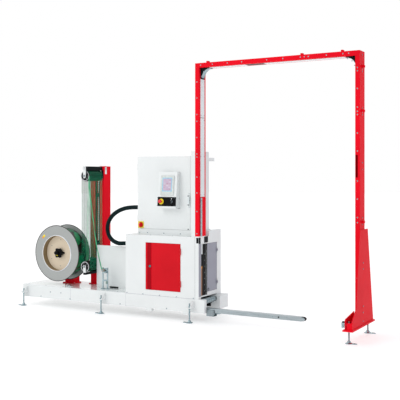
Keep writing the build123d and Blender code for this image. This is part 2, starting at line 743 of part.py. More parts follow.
support_x = gx(support_roller_x)[0]
support_z = lance_underside - seat_gap - support_roller_radius
fork_y = (lance_y_pair[0] - 10, lance_y_pair[1] + 10)
with BuildPart() as lance_bracket:
    block((bed_x[1], support_x + 26), fork_y, (70, 134))
    block((bed_x[1], support_x + 26), (lance_y_pair[0] - 2, lance_y_pair[1] + 2), (74, 134),
          Mode.SUBTRACT)
    round_bar((support_x, fork_y[0], support_z), 4, fork_y[1] - fork_y[0], "Y")
keep(lance_bracket, "lance_bracket")

with BuildPart() as lance_support_roller:
    round_bar((support_x, lance_y_pair[0], support_z), support_roller_radius, lance_width, "Y")
    round_bar((support_x, lance_y_pair[0], support_z), 4 + running_gap, lance_width, "Y",
              Mode.SUBTRACT)
keep(lance_support_roller, "lance_support_roller")

wheel_x = gx(drive_wheel_x)[0]
wheel_z = lance_top + seat_gap + drive_wheel_radius
wheel_y = (lance_y_pair[0] + 5, lance_y_pair[1] - 5)
motor_radius = 34
motor_gap = 14
with BuildPart() as lance_drive_wheel:
    round_bar((wheel_x, wheel_y[0], wheel_z), drive_wheel_radius, wheel_y[1] - wheel_y[0], "Y")
    round_bar((wheel_x, wheel_y[0], wheel_z), 9 + running_gap, wheel_y[1] - wheel_y[0], "Y",
              Mode.SUBTRACT)
keep(lance_drive_wheel, "lance_drive_wheel")

with BuildPart() as lance_motor:
    round_bar((wheel_x, wheel_y[0] - 4, wheel_z), 9, wheel_y[1] - wheel_y[0] + 4 + motor_gap, "Y")
    round_bar((wheel_x, wheel_y[1] + motor_gap, wheel_z), motor_radius,
              inner_y[1] - wheel_y[1] - motor_gap, "Y")
    round_bar((wheel_x, inner_y[1] - 8, wheel_z), motor_radius + 10, 8, "Y")
keep(lance_motor, "lance_motor")

# ---- strapping head at the bed's open end ----------------------------------
feed_x = gx(-62)[0]
feed_z = 206
feed_radius = 30
feed_y = (bay_y[0] + 6, bay_y[0] + 56)
head_motor_radius = 29
head_x = gx(-310, -118)
with BuildPart() as strapping_head:
    block(head_x, (inner_y[0], inner_y[0] + 8), (152, 236))
    block(head_x, (inner_y[0] + 60, inner_y[0] + 70), (152, 236))
    block(head_x, (inner_y[0] + 8, inner_y[0] + 60), (152, 162))
    block((head_x[0] + 20, head_x[1] - 30), (inner_y[0] + 8, inner_y[0] + 60), (186, 232))
    round_bar((feed_x, feed_y[0] - 6, feed_z), 8, feed_y[1] - feed_y[0] + 16, "Y")
    round_bar((feed_x, feed_y[1] + 10, feed_z), head_motor_radius, inner_y[1] - feed_y[1] - 10, "Y")
    block((head_x[1], feed_x - 10), (inner_y[0] + 62, inner_y[0] + 70), (176, 232))
    block((head_x[1], feed_x - 26), (inner_y[0], inner_y[0] + 6), (180, 228))
    unit_y = gy(200, 210)
    block(gx(-440, -122), unit_y, (rail_top, 640))
    block(gx(-440, -122), (unit_y[1], rear_rail_y[0] + 20), (rail_top, rail_top + 8))
    for x, z, radius in ((-350, 540, 45), (-220, 430, 60), (-340, 330, 40)):
        round_bar((gx(x)[0], unit_y[0] - 70, z), radius, 70, "Y")
        round_bar((gx(x)[0], unit_y[1], z), radius * 0.8, 120, "Y")
keep(strapping_head, "strapping_head")

with BuildPart() as feed_roller:
    round_bar((feed_x, feed_y[0], feed_z), feed_radius, feed_y[1] - feed_y[0], "Y")
    round_bar((feed_x, feed_y[0], feed_z), 8 + running_gap, feed_y[1] - feed_y[0], "Y",
              Mode.SUBTRACT)
keep(feed_roller, "feed_roller")

# ---- dock for the lance on the far leg's plate -----------------------------
dock_x = (plate_x[0] - 62, plate_x[0])
dock_y = (lance_y_pair[0] - 9, lance_y_pair[1] + 9)
with BuildPart() as lance_dock:
    block(dock_x, dock_y, (90, 140))
    block((dock_x[0], dock_x[1] - 6), (lance_y_pair[0] - 3, lance_y_pair[1] + 3), (96, 140),
          Mode.SUBTRACT)
    block((dock_x[1] - 6, dock_x[1] + 24), dock_y, (plate_z[1], 140))
keep(lance_dock, "lance_dock")

# ---- reel ------------------------------------------------------------------
rx = gx(reel_x)[0]
reel_y = gy(reel_front, reel_back)
stand_front = reel_y[1] + 20
stand_depth = 120
stand_half = 60
shaft_front = reel_y[0] - 4
with BuildPart() as reel_stand:
    block((rx - stand_half, rx + stand_half), (stand_front, stand_front + stand_depth),
          (deck_top + 10, reel_z + 75))
    block((rx - stand_half + post_wall, rx + stand_half - post_wall),
          (stand_front + post_wall, stand_front + stand_depth), (deck_top + 10, reel_z + 71),
          Mode.SUBTRACT)
    block((rx - stand_half - 25, rx + stand_half + 25),
          (stand_front - 14, stand_front + stand_depth), (deck_top, deck_top + 10))
    round_bar((rx, shaft_front, reel_z), shaft_radius, stand_front - shaft_front, "Y")
    round_bar((rx, stand_front - 8, reel_z), 42, 8, "Y")
keep(reel_stand, "reel_stand")

with BuildPart() as reel_spool:
    for y in (reel_y[0], reel_y[1] - core_wall):
        round_bar((rx, y, reel_z), reel_radius, core_wall, "Y")
    round_bar((rx, reel_y[0] - 6, reel_z), reel_opening_radius + 9, 6, "Y")
    round_bar((rx, reel_y[0], reel_z), reel_opening_radius + core_wall, reel_y[1] - reel_y[0], "Y")
    round_bar((rx, reel_y[0] - 6, reel_z), reel_opening_radius, reel_y[1] - reel_y[0] + 6, "Y",
              Mode.SUBTRACT)
    rim = reel_spool.edges().filter_by(GeomType.CIRCLE).sort_by(Axis.Y)[0:2]
    fillet(rim, 2.5)
keep(reel_spool, "reel_spool")

disc_y = reel_y[0] + 66
disc_thickness = 6
hub_radius = 34
nut_offset = 52
with BuildPart() as reel_disc:
    round_bar((rx, disc_y, reel_z), reel_opening_radius - 0.1, disc_thickness, "Y")
    round_bar((rx, disc_y - 22, reel_z), hub_radius, disc_thickness + 44, "Y")
    with BuildSketch(Plane.XZ.offset(-(disc_y - 12))):
        with Locations((rx + nut_offset, reel_z)):
            RegularPolygon(12, 6)
    extrude(amount=-12)
    round_bar((rx, disc_y - 22, reel_z), shaft_radius + running_gap, disc_thickness + 44, "Y",
              Mode.SUBTRACT)
keep(reel_disc, "reel_disc")

with BuildPart() as strap_coil:
    round_bar((rx, reel_y[0] + core_wall + 2, reel_z), coil_radius,
              reel_y[1] - reel_y[0] - 2 * core_wall - 4, "Y")
    round_bar((rx, reel_y[0], reel_z), reel_opening_radius + core_wall + 0.1,
              reel_y[1] - reel_y[0], "Y", Mode.SUBTRACT)
keep(strap_coil, "strap_coil")

wheel_lobes = 6
handwheel_radius = 46
lobe_radius = 13
handwheel_y = (reel_y[0] + 14, disc_y - 22)
with BuildPart() as reel_handwheel:
    with BuildSketch(Plane.XZ.offset(-handwheel_y[0])):
        with Locations((rx, reel_z)):
            Circle(handwheel_radius)
            with PolarLocations(handwheel_radius, wheel_lobes):
                Circle(lobe_radius)
            Circle(shaft_radius + running_gap, mode=Mode.SUBTRACT)
    extrude(amount=-(handwheel_y[1] - handwheel_y[0]))
keep(reel_handwheel, "reel_handwheel")

# ---- accumulator tower -----------------------------------------------------
tower_y = gy(tower_front)[0]


def hollow_post(x, y, z):
    """A rectangular tube that stands between two heights, open below."""
    block(x, y, z)
    block((x[0] + post_wall, x[1] - post_wall), (y[0] + post_wall, y[1] - post_wall),
          (z[0], z[1] - post_wall), Mode.SUBTRACT)


ax = gx(*post_a_x)
bx = gx(*post_b_x)
lx = gx(loop_x)[0]
cross_z = ((1240, 1300), (700, 750))
with BuildPart() as tower_posts:
    hollow_post(ax, (tower_y, tower_y + post_a_depth), (deck_top, post_a_top))
    hollow_post(bx, (tower_y, tower_y + post_b_depth), (deck_top, post_b_top))
    for z in cross_z:
        block((ax[1], bx[0]), (tower_y + 20, tower_y + 40), z)
    for x in ((ax[0] + 14, ax[1] - 14), (bx[0] + 14, bx[1] - 14)):
        block(x, (tower_y - 14, tower_y), (loop_bottom_z - 110, loop_bottom_z - 90 - seat_gap))
keep(tower_posts, "tower_posts")

arm_half = 17
arm_thickness = 8
roller_y = gy(*loop_roller_y)
front_arm_y = (roller_y[0] - arm_thickness - 4, roller_y[0] - 4)
head_bar_z = (post_b_top - 46, post_b_top - 4)
with BuildPart() as tower_head:
    block((lx - 25, lx + 25), (front_arm_y[1], tower_y), head_bar_z)
    block((lx + 4, bx[1] - 6), (tower_y - 10, tower_y), (head_bar_z[0] - 90, head_bar_z[0]))
    block((lx - arm_half, lx + arm_half), front_arm_y, (loop_top_z - 24, post_b_top))
    block((lx - arm_half, lx + arm_half), (roller_y[1] + 2, tower_y - 10),
          (loop_top_z - 24, head_bar_z[0]))
    round_bar((lx, front_arm_y[1], loop_top_z), axle_radius, roller_y[1] + 2 - front_arm_y[1], "Y")
keep(tower_head, "tower_head")

with BuildPart() as top_roller:
    round_bar((lx, roller_y[0], loop_top_z), loop_roller_radius, roller_y[1] - roller_y[0], "Y")
    round_bar((lx, roller_y[0], loop_top_z), axle_radius + running_gap, roller_y[1] - roller_y[0],
              "Y", Mode.SUBTRACT)
keep(top_roller, "top_roller")

carriage_y = (roller_y[1] + 3, tower_y - seat_gap)
with BuildPart() as dancer_frame:
    block((ax[0] + 4, bx[1] - 4), carriage_y, (loop_bottom_z - 90, loop_bottom_z + 75))
    block((lx - arm_half, lx + arm_half), (front_arm_y[0], carriage_y[0]),
          (loop_bottom_z - 90, loop_bottom_z - 66))
    block((lx - arm_half, lx + arm_half), front_arm_y, (loop_bottom_z - 66, loop_bottom_z + 20))
    round_bar((lx, front_arm_y[1], loop_bottom_z), axle_radius, carriage_y[0] - front_arm_y[1], "Y")
keep(dancer_frame, "dancer_frame")

with BuildPart() as dancer_roller:
    round_bar((lx, roller_y[0], loop_bottom_z), loop_roller_radius, roller_y[1] - roller_y[0], "Y")
    round_bar((lx, roller_y[0], loop_bottom_z), axle_radius + running_gap,
              roller_y[1] - roller_y[0], "Y", Mode.SUBTRACT)
keep(dancer_roller, "dancer_roller")

loop_pitch = (roller_y[1] - roller_y[0] - 30) / strap_loops_count
loop_centre = (loop_top_z + loop_bottom_z) / 2
loop_height = loop_top_z - loop_bottom_z
loop_inner = loop_roller_radius + seat_gap
with BuildPart() as strap_loops:
    for i in range(strap_loops_count):
        y = roller_y[0] + 15 + i * loop_pitch
        with BuildSketch(Plane.XZ.offset(-y)):
            with Locations((lx, loop_centre)):
                SlotCenterToCenter(loop_height, 2 * (loop_inner + strap_thickness), rotation=90)
                SlotCenterToCenter(loop_height, 2 * loop_inner, rotation=90, mode=Mode.SUBTRACT)
        extrude(amount=-strap_width)
keep(strap_loops, "strap_loops")

# ---- guard panel and guide stand -------------------------------------------
gd_x = gx(*guard_x)
gd_y = gy(*guard_y)
with BuildPart() as guard_panel:
    block(gd_x, gd_y, (deck_top, guard_top))
    block(gd_x, (gd_y[1], gd_y[1] + 22), (guard_top - 3, guard_top))
    block((gd_x[0], gd_x[0] + 3), (gd_y[1], gd_y[1] + 22), (deck_top, guard_top))
    block(gx(-1345, -1225), gd_y, (deck_top, deck_top + 17), Mode.SUBTRACT)
keep(guard_panel, "guard_panel")

st_x = gx(*stand_x)
stand_y = gy(108, 116)
bar_half = 8
guide_roller_radius = 16
guide_roller_at = (st_x[0] + 16, 449)
small_rollers = ((st_x[1] + 4, 466), (st_x[1] - 16, 430))
with BuildPart() as guide_stand:
    for x in st_x:
        block((x - bar_half, x + bar_half), stand_y, (deck_top, 478))
        block((x - 22, x + 22), (stand_y[0] - 12, stand_y[1] + 12), (deck_top, deck_top + 6))
    block((st_x[0] + bar_half, st_x[1] - bar_half), stand_y, (328, 346))
    block((st_x[0] + bar_half, st_x[1] - bar_half), stand_y, (418, 474))
    round_bar((guide_roller_at[0], stand_y[0] - 30, guide_roller_at[1]), 5, 30, "Y")
    for x, z in small_rollers:
        round_bar((x, stand_y[0] - 26, z), 9, 26, "Y")
keep(guide_stand, "guide_stand")

with BuildPart() as guide_roller:
    round_bar((guide_roller_at[0], stand_y[0] - 28, guide_roller_at[1]), guide_roller_radius, 26, "Y")
    round_bar((guide_roller_at[0], stand_y[0] - 28, guide_roller_at[1]), 5 + running_gap, 26, "Y",
              Mode.SUBTRACT)
keep(guide_roller, "guide_roller")

# strap that hangs from the top roller to the guide stand, and the strap's end
feed_y0 = stand_y[0] - 24
feed_path = [(lx + loop_inner, loop_top_z), gx(-1531) + (1390,), gx(-1489) + (1056,),
             gx(-1426) + (712,), (guide_roller_at[0] - guide_roller_radius - seat_gap - 1, guide_roller_at[1])]
with BuildPart() as feed_strap:
    with BuildSketch(Plane.XZ.offset(-feed_y0)):
        with BuildLine():
            Polyline(*feed_path, *[(x + 1.0, z) for x, z in reversed(feed_path)], close=True)
        make_face()
    extrude(amount=-strap_width)
    block((frame_x[1] - 6, frame_x[1] - 5.2), (guide_y[1] + 8, guide_y[1] + 8 + strap_width),
          (frame_sill[1], 574))
keep(feed_strap, "feed_strap")

# ---- conduit between the two cabinets --------------------------------------
conduit_y = gy(185)[0]
gland_length = 25
upper_gland_x = upper_cab_x[0] - gland_length
lower_gland_x = cabinet_x[0] - gland_length
upper_port_z = 1150
lower_port_z = 752
port_flat = conduit_diameter + 12
with BuildPart() as conduit_glands:
    for x, z in ((upper_gland_x, upper_port_z), (lower_gland_x, lower_port_z)):
        round_bar((x, conduit_y, z), conduit_diameter / 2 + 5, gland_length, "X")
        with BuildSketch(Plane.YZ.offset(x + gland_length - 10)):
            with Locations((conduit_y, z)):
                RegularPolygon(port_flat / 2, 6, major_radius=False)
        extrude(amount=10)
keep(conduit_glands, "conduit_glands")

# Its route in XZ, by hand, from the upper gland round to the lower one.
conduit_route = [(upper_gland_x, upper_port_z), gx(-1050) + (upper_port_z,), gx(-1192) + (1112,),
                 gx(-1305) + (1035,), gx(-1358) + (915,), gx(-1318) + (800,), gx(-1212) + (742,),
                 gx(-1100) + (lower_port_z,), (lower_gland_x, lower_port_z)]


def bend_radii(points):
    """The largest bend that each inner point of a route has room for."""
    radii = []
    for before, at, after in zip(points, points[1:], points[2:]):
        way_in = (at[0] - before[0], at[1] - before[1])
        way_out = (after[0] - at[0], after[1] - at[1])
        turn = abs(atan2(way_in[0] * way_out[1] - way_in[1] * way_out[0],
                         way_in[0] * way_out[0] + way_in[1] * way_out[1]))
        radii.append(0.45 * min(hypot(*way_in), hypot(*way_out)) / tan(turn / 2))
    return radii


conduit_radii = bend_radii(conduit_route)
with BuildPart() as conduit:
    with BuildLine(Plane.XZ.offset(-conduit_y)) as conduit_line:
        FilletPolyline(*conduit_route, radius=conduit_radii)
    with BuildSketch(Plane.YZ.offset(conduit_route[0][0])):
        with Locations((conduit_y, upper_port_z)):
            Circle(conduit_diameter / 2)
    sweep(path=conduit_line.line)
keep(conduit, "conduit")

section = pi * conduit_diameter**2 / 4
conduit_length = conduit_line.wires()[0].length
print("conduit length", round(conduit_length, 1))
print("conduit bend radii", [round(radius) for radius in conduit_radii])
print("conduit volume over section x length",
      round(conduit.part.volume / (section * conduit_length), 4))
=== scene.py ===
import bmesh
import bpy
import random
from math import atan2, cos, pi, radians, sin
from mathutils import Matrix, Vector


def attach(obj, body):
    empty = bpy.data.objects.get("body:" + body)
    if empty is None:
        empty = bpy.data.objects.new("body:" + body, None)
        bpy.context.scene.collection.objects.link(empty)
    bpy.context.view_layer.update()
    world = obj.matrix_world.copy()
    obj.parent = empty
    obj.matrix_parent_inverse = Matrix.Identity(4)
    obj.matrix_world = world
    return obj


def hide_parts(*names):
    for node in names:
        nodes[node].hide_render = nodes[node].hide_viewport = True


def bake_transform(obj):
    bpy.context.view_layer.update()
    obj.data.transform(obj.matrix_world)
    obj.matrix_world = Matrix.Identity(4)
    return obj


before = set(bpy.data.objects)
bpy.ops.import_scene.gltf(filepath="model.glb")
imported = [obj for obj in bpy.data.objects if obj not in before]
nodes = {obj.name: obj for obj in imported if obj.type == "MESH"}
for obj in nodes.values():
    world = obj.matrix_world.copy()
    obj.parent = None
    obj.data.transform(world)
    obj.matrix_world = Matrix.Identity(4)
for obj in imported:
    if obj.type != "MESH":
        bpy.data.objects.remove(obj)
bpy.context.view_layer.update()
random.seed(7)
MM = 0.001

# ---- places on the CAD model, in millimetres in the row frame --------------
bed_front, deck_top = -167.5, 241
cabinet_left, cabinet_rear = -577.5, 307.5
upper_front, upper_rear = -37.5, 264.5
arch_front, arch_middle, arch_rear = -163.5, -93.5, -23.5
near_out, near_in, far_in, far_out = 279.5, 323.5, 1966.5, 2010.5
beam_under = 2590
leg_plate = 2018.5                       # outer face of the far leg's tapered plate
lance_front, lance_back, lance_z, tip_x = -118.5, -68.5, 127, 1441.5
rx, rz = -1583.5, 609                    # the reel's axis
lx, hi, lo, loop_r = -1196.5, 1491, 475, 58      # the two rollers of the strap loops
gx, gz = -945.5, 449                     # the roller on the guide stand
feed_x, feed_z = 329.5, 206              # the roller that feeds the strap
sx, sz, hx = -466.5, 967, 137.5          # main switch, and the upper door's handle

# ---- camera ----------------------------------------------------------------
lens = bpy.data.cameras.new("camera")
lens.lens, lens.sensor_width = 69.77, 36
lens.shift_x, lens.shift_y = -0.0235, -0.0598
lens.clip_end = 200
camera = bpy.data.objects.new("camera", lens)
camera.location = (4.2415, -6.9818, 1.4896)
camera.rotation_euler = (radians(90), 0, radians(29.1))
bpy.context.scene.collection.objects.link(camera)
bpy.context.scene.camera = camera


# ---- materials -------------------------------------------------------------
class Nodes:
    """A small builder for one material's node tree."""

    def __init__(self, name):
        self.mat = bpy.data.materials.new(name)
        self.mat.use_nodes = True
        self.tree = self.mat.node_tree
        self.tree.nodes.clear()
        self.out = self.add("ShaderNodeOutputMaterial")
        self.shader = self.add("ShaderNodeBsdfPrincipled")
        self.link(self.shader, "BSDF", self.out, "Surface")
        self.place = self.add("ShaderNodeTexCoord")

    def add(self, kind, **settings):
        node = self.tree.nodes.new(kind)
        for key, value in settings.items():
            setattr(node, key, value)
        return node

    def link(self, a, out, b, into):
        self.tree.links.new(a.outputs[out], b.inputs[into])

    def set(self, **values):
        for key, value in values.items():
            self.shader.inputs[key.replace("_", " ")].default_value = value

    def noise(self, scale, detail=3, stretch=None):
        """Noise in object space, drawn out along an axis whose stretch is under 1."""
        node = self.add("ShaderNodeTexNoise")
        node.inputs["Scale"].default_value = scale
        node.inputs["Detail"].default_value = detail
        node.inputs["Roughness"].default_value = 0.55
        if stretch:
            mapping = self.add("ShaderNodeMapping")
            mapping.inputs["Scale"].default_value = stretch
            self.link(self.place, "Object", mapping, "Vector")
            self.link(mapping, "Vector", node, "Vector")
        else:
            self.link(self.place, "Object", node, "Vector")
        return node

    def colour(self, source, out, low, high, a, b):
        """Base colour from a source: a where it is at low, b where it is at high."""
        node = self.add("ShaderNodeValToRGB")
        for element, at, value in zip(node.color_ramp.elements, (low, high), (a, b)):
            element.position = at
            element.color = (*value, 1)
        self.link(source, out, node, "Fac")
        self.link(node, "Color", self.shader, "Base Color")
        return node

    def mottle(self, source, out, low, high, colour, spread):
        """Base colour that wavers by spread to either side of a colour."""
        self.colour(source, out, low, high, shade(colour, 1 - spread), shade(colour, 1 + spread))

    def rough(self, source, out, low, high):
        node = self.add("ShaderNodeMapRange")
        node.inputs["To Min"].default_value = low
        node.inputs["To Max"].default_value = high
        self.link(source, out, node, "Value")
        self.link(node, "Result", self.shader, "Roughness")

    def bump(self, source, out, strength, distance):
        node = self.add("ShaderNodeBump")
        node.inputs["Strength"].default_value = strength
        node.inputs["Distance"].default_value = distance
        self.link(source, out, node, "Height")
        self.link(node, "Normal", self.shader, "Normal")


def shade(colour, k):
    return tuple(min(1, c * k) for c in colour)


def painted(name, colour, rough=0.35, coat=0.0, spread=0.05, gloss=0.4):
    """Powder coat or gloss paint: orange peel, faint clouding and uneven gloss."""
    m = Nodes(name)
    m.mottle(m.noise(2.6, 4), "Fac", 0.3, 0.7, colour, spread)
    m.rough(m.noise(9, 5), "Fac", rough * 0.75, rough * 1.3)
    m.bump(m.noise(260, 2), "Fac", 0.25, 0.00006)
    m.set(Coat_Weight=coat, Coat_Roughness=0.12, Specular_IOR_Level=gloss)
    return m.mat


def metal(name, colour, rough=0.35, stretch=None, scale=60, spread=0.12):
    """Bare or plated metal with a brushed or mottled surface."""
    m = Nodes(name)
    grain = m.noise(scale, 6, stretch)
    m.mottle(grain, "Fac", 0.32, 0.68, colour, spread)
    m.rough(grain, "Fac", rough * 0.7, rough * 1.35)
    m.bump(grain, "Fac", 0.3, 0.00008)
    m.set(Metallic=1.0)
    return m.mat


def plastic(name, colour, rough=0.45, spread=0.08, gloss=0.4):
    """Moulded plastic or rubber with a fine texture."""
    m = Nodes(name)
    cloud = m.noise(35, 3)
    m.mottle(cloud, "Fac", 0.35, 0.65, colour, spread)
    m.rough(cloud, "Fac", rough * 0.85, rough * 1.15)
    m.bump(m.noise(700, 2), "Fac", 0.35, 0.00005)
    m.set(Specular_IOR_Level=gloss)
    return m.mat


def turned(name, colour, rough, centre, metallic=1.0, pitch=900, spread=0.1):
    """Metal or paint turned about a line along Y: fine rings round its (x, z) centre."""
    m = Nodes(name)
    mapping = m.add("ShaderNodeMapping")
    mapping.inputs["Location"].default_value = (-centre[0] * MM, 0, -centre[1] * MM)
    mapping.inputs["Scale"].default_value = (1, 0, 1)
    m.link(m.place, "Object", mapping, "Vector")
    length = m.add("ShaderNodeVectorMath", operation="LENGTH")
    m.link(mapping, "Vector", length, 0)
    rings = m.add("ShaderNodeTexNoise", noise_dimensions="1D")
    rings.inputs["Scale"].default_value = pitch
    rings.inputs["Detail"].default_value = 4
    m.link(length, "Value", rings, "W")
    m.mottle(rings, "Fac", 0.3, 0.7, colour, spread)
    m.rough(m.noise(14, 4), "Fac", rough * 0.8, rough * 1.25)
    m.bump(rings, "Fac", 0.25, 0.00006)
    m.set(Metallic=metallic)
    return m.mat


def strap_plastic(name, colour, rough, alpha=1.0, coat=0.5, gloss=0.5, wound=False):
    """Embossed polyester strap: knurl, and lighter and darker lines along it, or on a wound coil broad
    painted highlights and painted dark reflections.
    """
    m = Nodes(name)
    if wound:
        # On a wound coil the green swings from near-black to bright in broad patches: painted highlights and
        # painted dark reflections.
        streaks_and_painted_glints = m.noise(11, 4)
        m.colour(streaks_and_painted_glints, "Fac", 0.42, 0.60, shade(colour, 0.08), shade(colour, 3.6))
    else:
        streaks_and_painted_glints = m.noise(55, 4, (1, 1, 0.05))
        m.colour(streaks_and_painted_glints, "Fac", 0.34, 0.68, shade(colour, 0.5), shade(colour, 1.7))
    knurl = m.add("ShaderNodeTexVoronoi", feature="DISTANCE_TO_EDGE")
    knurl.inputs["Scale"].default_value = 420
    m.link(m.place, "Object", knurl, "Vector")
    m.bump(knurl, "Distance", 0.35, 0.0002)
    m.rough(streaks_and_painted_glints, "Fac", rough * 0.7, rough * 1.4)
    m.set(Alpha=alpha, Coat_Weight=coat, Coat_Roughness=0.15, Specular_IOR_Level=gloss)
    return m.mat


# The lower door's red is the gloss red darkened as painted shade; the hinge paint takes it too.
white, door_red_shade, reel_axis = (0.765, 0.79, 0.785), (0.63, 0.012, 0.020), (rx, rz)
WHITE = painted("white_powder_coat", white, 0.34, spread=0.03)
DECK = painted("white_gloss_deck", (0.80, 0.84, 0.84), 0.16, coat=0.6, spread=0.02)
RED = painted("red_gloss_paint", (0.80, 0.006, 0.018), 0.34, spread=0.07, gloss=0.02)
RED_DOOR_SHADE = painted("red_paint_door_shade", door_red_shade, 0.34, spread=0.07, gloss=0.02)
RED_DARK = painted("red_paint_shaded", (0.36, 0.004, 0.010), 0.42, spread=0.10, gloss=0.02)
GREY = painted("grey_powder_coat_and_shade", (0.30, 0.305, 0.36), 0.4, spread=0.05)
COVER = painted("pale_cover_strip", (0.74, 0.79, 0.80), 0.3, spread=0.05)
DARK = painted("dark_paint", (0.006, 0.009, 0.010), 0.35, spread=0.2, gloss=0.06)
ZINC = metal("zinc_plate", (0.33, 0.42, 0.45), 0.22, scale=110, spread=0.3)
STEEL = metal("bare_steel", (0.27, 0.32, 0.34), 0.3, (1, 1, 0.1), 70, 0.25)
ALUMINIUM = metal("brushed_aluminium", (0.36, 0.41, 0.43), 0.28, (0.03, 1, 1), 240, 0.2)
LOCK = metal("lock_chrome", (0.06, 0.22, 0.24), 0.25, scale=90)
COPPER = metal("worn_strap_channel", (0.36, 0.17, 0.08), 0.4, (1, 1, 0.05), 80, 0.3)
RUBBER = plastic("black_rubber", (0.006, 0.007, 0.008), 0.55, gloss=0.06)
BLACK = plastic("black_plastic", (0.005, 0.005, 0.006), 0.38, gloss=0.06)
CONDUIT = plastic("conduit_plastic", (0.004, 0.016, 0.017), 0.34, gloss=0.10)
PLASTIC = plastic("grey_plastic", (0.62, 0.66, 0.64), 0.45)
YELLOW = plastic("yellow_plastic", (0.86, 0.68, 0.01), 0.35)
ORANGE = plastic("orange_label", (0.80, 0.30, 0.01), 0.4)
RED_CAP = plastic("red_plastic", (0.70, 0.012, 0.020), 0.25)
BEIGE = turned("beige_disc_paint", (0.70, 0.59, 0.44), 0.5, reel_axis, 0.0, 300, 0.05)
SPUN = turned("spun_steel", (0.38, 0.395, 0.385), 0.4, reel_axis, 0.6, 700, 0.10)
# Near-black for the polished rolled rims: painted dark reflection.
EDGE = painted("rim_painted_dark_reflection", (0.035, 0.030, 0.028), 0.3, gloss=0.1)
# The reel core's inner wall: brown-gold, darkened as painted shade of the recess.
WALL = turned("core_wall_gold_and_shade", (0.26, 0.19, 0.10), 0.4, reel_axis, 0.3, 300, 0.15)
RIM = turned("polished_rim", (0.74, 0.76, 0.79), 0.18, reel_axis, 1.0, 900, 0.06)
ROLLER = turned("pale_roller", (0.34, 0.31, 0.25), 0.5, (gx, gz), 0.0, 500, 0.08)
STRAP = strap_plastic("green_strap", (0.002, 0.095, 0.036), 0.2, coat=0.12, gloss=0.2, wound=True)
LOOPS = strap_plastic("green_strap_clear", (0.006, 0.20, 0.095), 0.3, 0.34, coat=0.0, gloss=0.15)
# A lit copy of the strap's green: painted light on the free runs, and painted highlights on the loops.
BRIGHT = strap_plastic("green_strap_lit", (0.05, 0.45, 0.20), 0.3, coat=0.1, gloss=0.2)


def hinge_paint():
    """White paint, and red between two X where the knuckles stand over the red door's edge."""
    m = Nodes("hinge_paint")
    parts = m.add("ShaderNodeSeparateXYZ")
    m.link(m.place, "Object", parts, "Vector")
    over = m.add("ShaderNodeMath", operation="COMPARE")
    door_edge, reach = 0.1055, 0.0105     # metres along X
    over.inputs[1].default_value, over.inputs[2].default_value = door_edge, reach
    m.link(parts, "X", over, 0)
    m.colour(over, "Value", 0.4, 0.6, white, door_red_shade)
    m.rough(m.noise(9, 5), "Fac", 0.25, 0.45)
    m.bump(m.noise(260, 2), "Fac", 0.25, 0.00006)
    m.set(Specular_IOR_Level=0.2)
    return m.mat


HINGE = hinge_paint()


# ---- mesh making -----------------------------------------------------------
def turns(n, start=0.0):
    """n angles spread evenly round a circle."""
    return [2 * pi * k / n + start for k in range(n)]


def arc(a, b, steps):
    """steps + 1 angles from a to b."""
    return [a + (b - a) * i / steps for i in range(steps + 1)]


def capsule(x, low, high, across, up):
    """An upright slot's outline in XZ, its round ends about low and high."""
    return [(x + across * cos(t), z + up * sin(t))
            for z, start in ((high, 0), (low, pi)) for t in arc(start, start + pi, 10)]


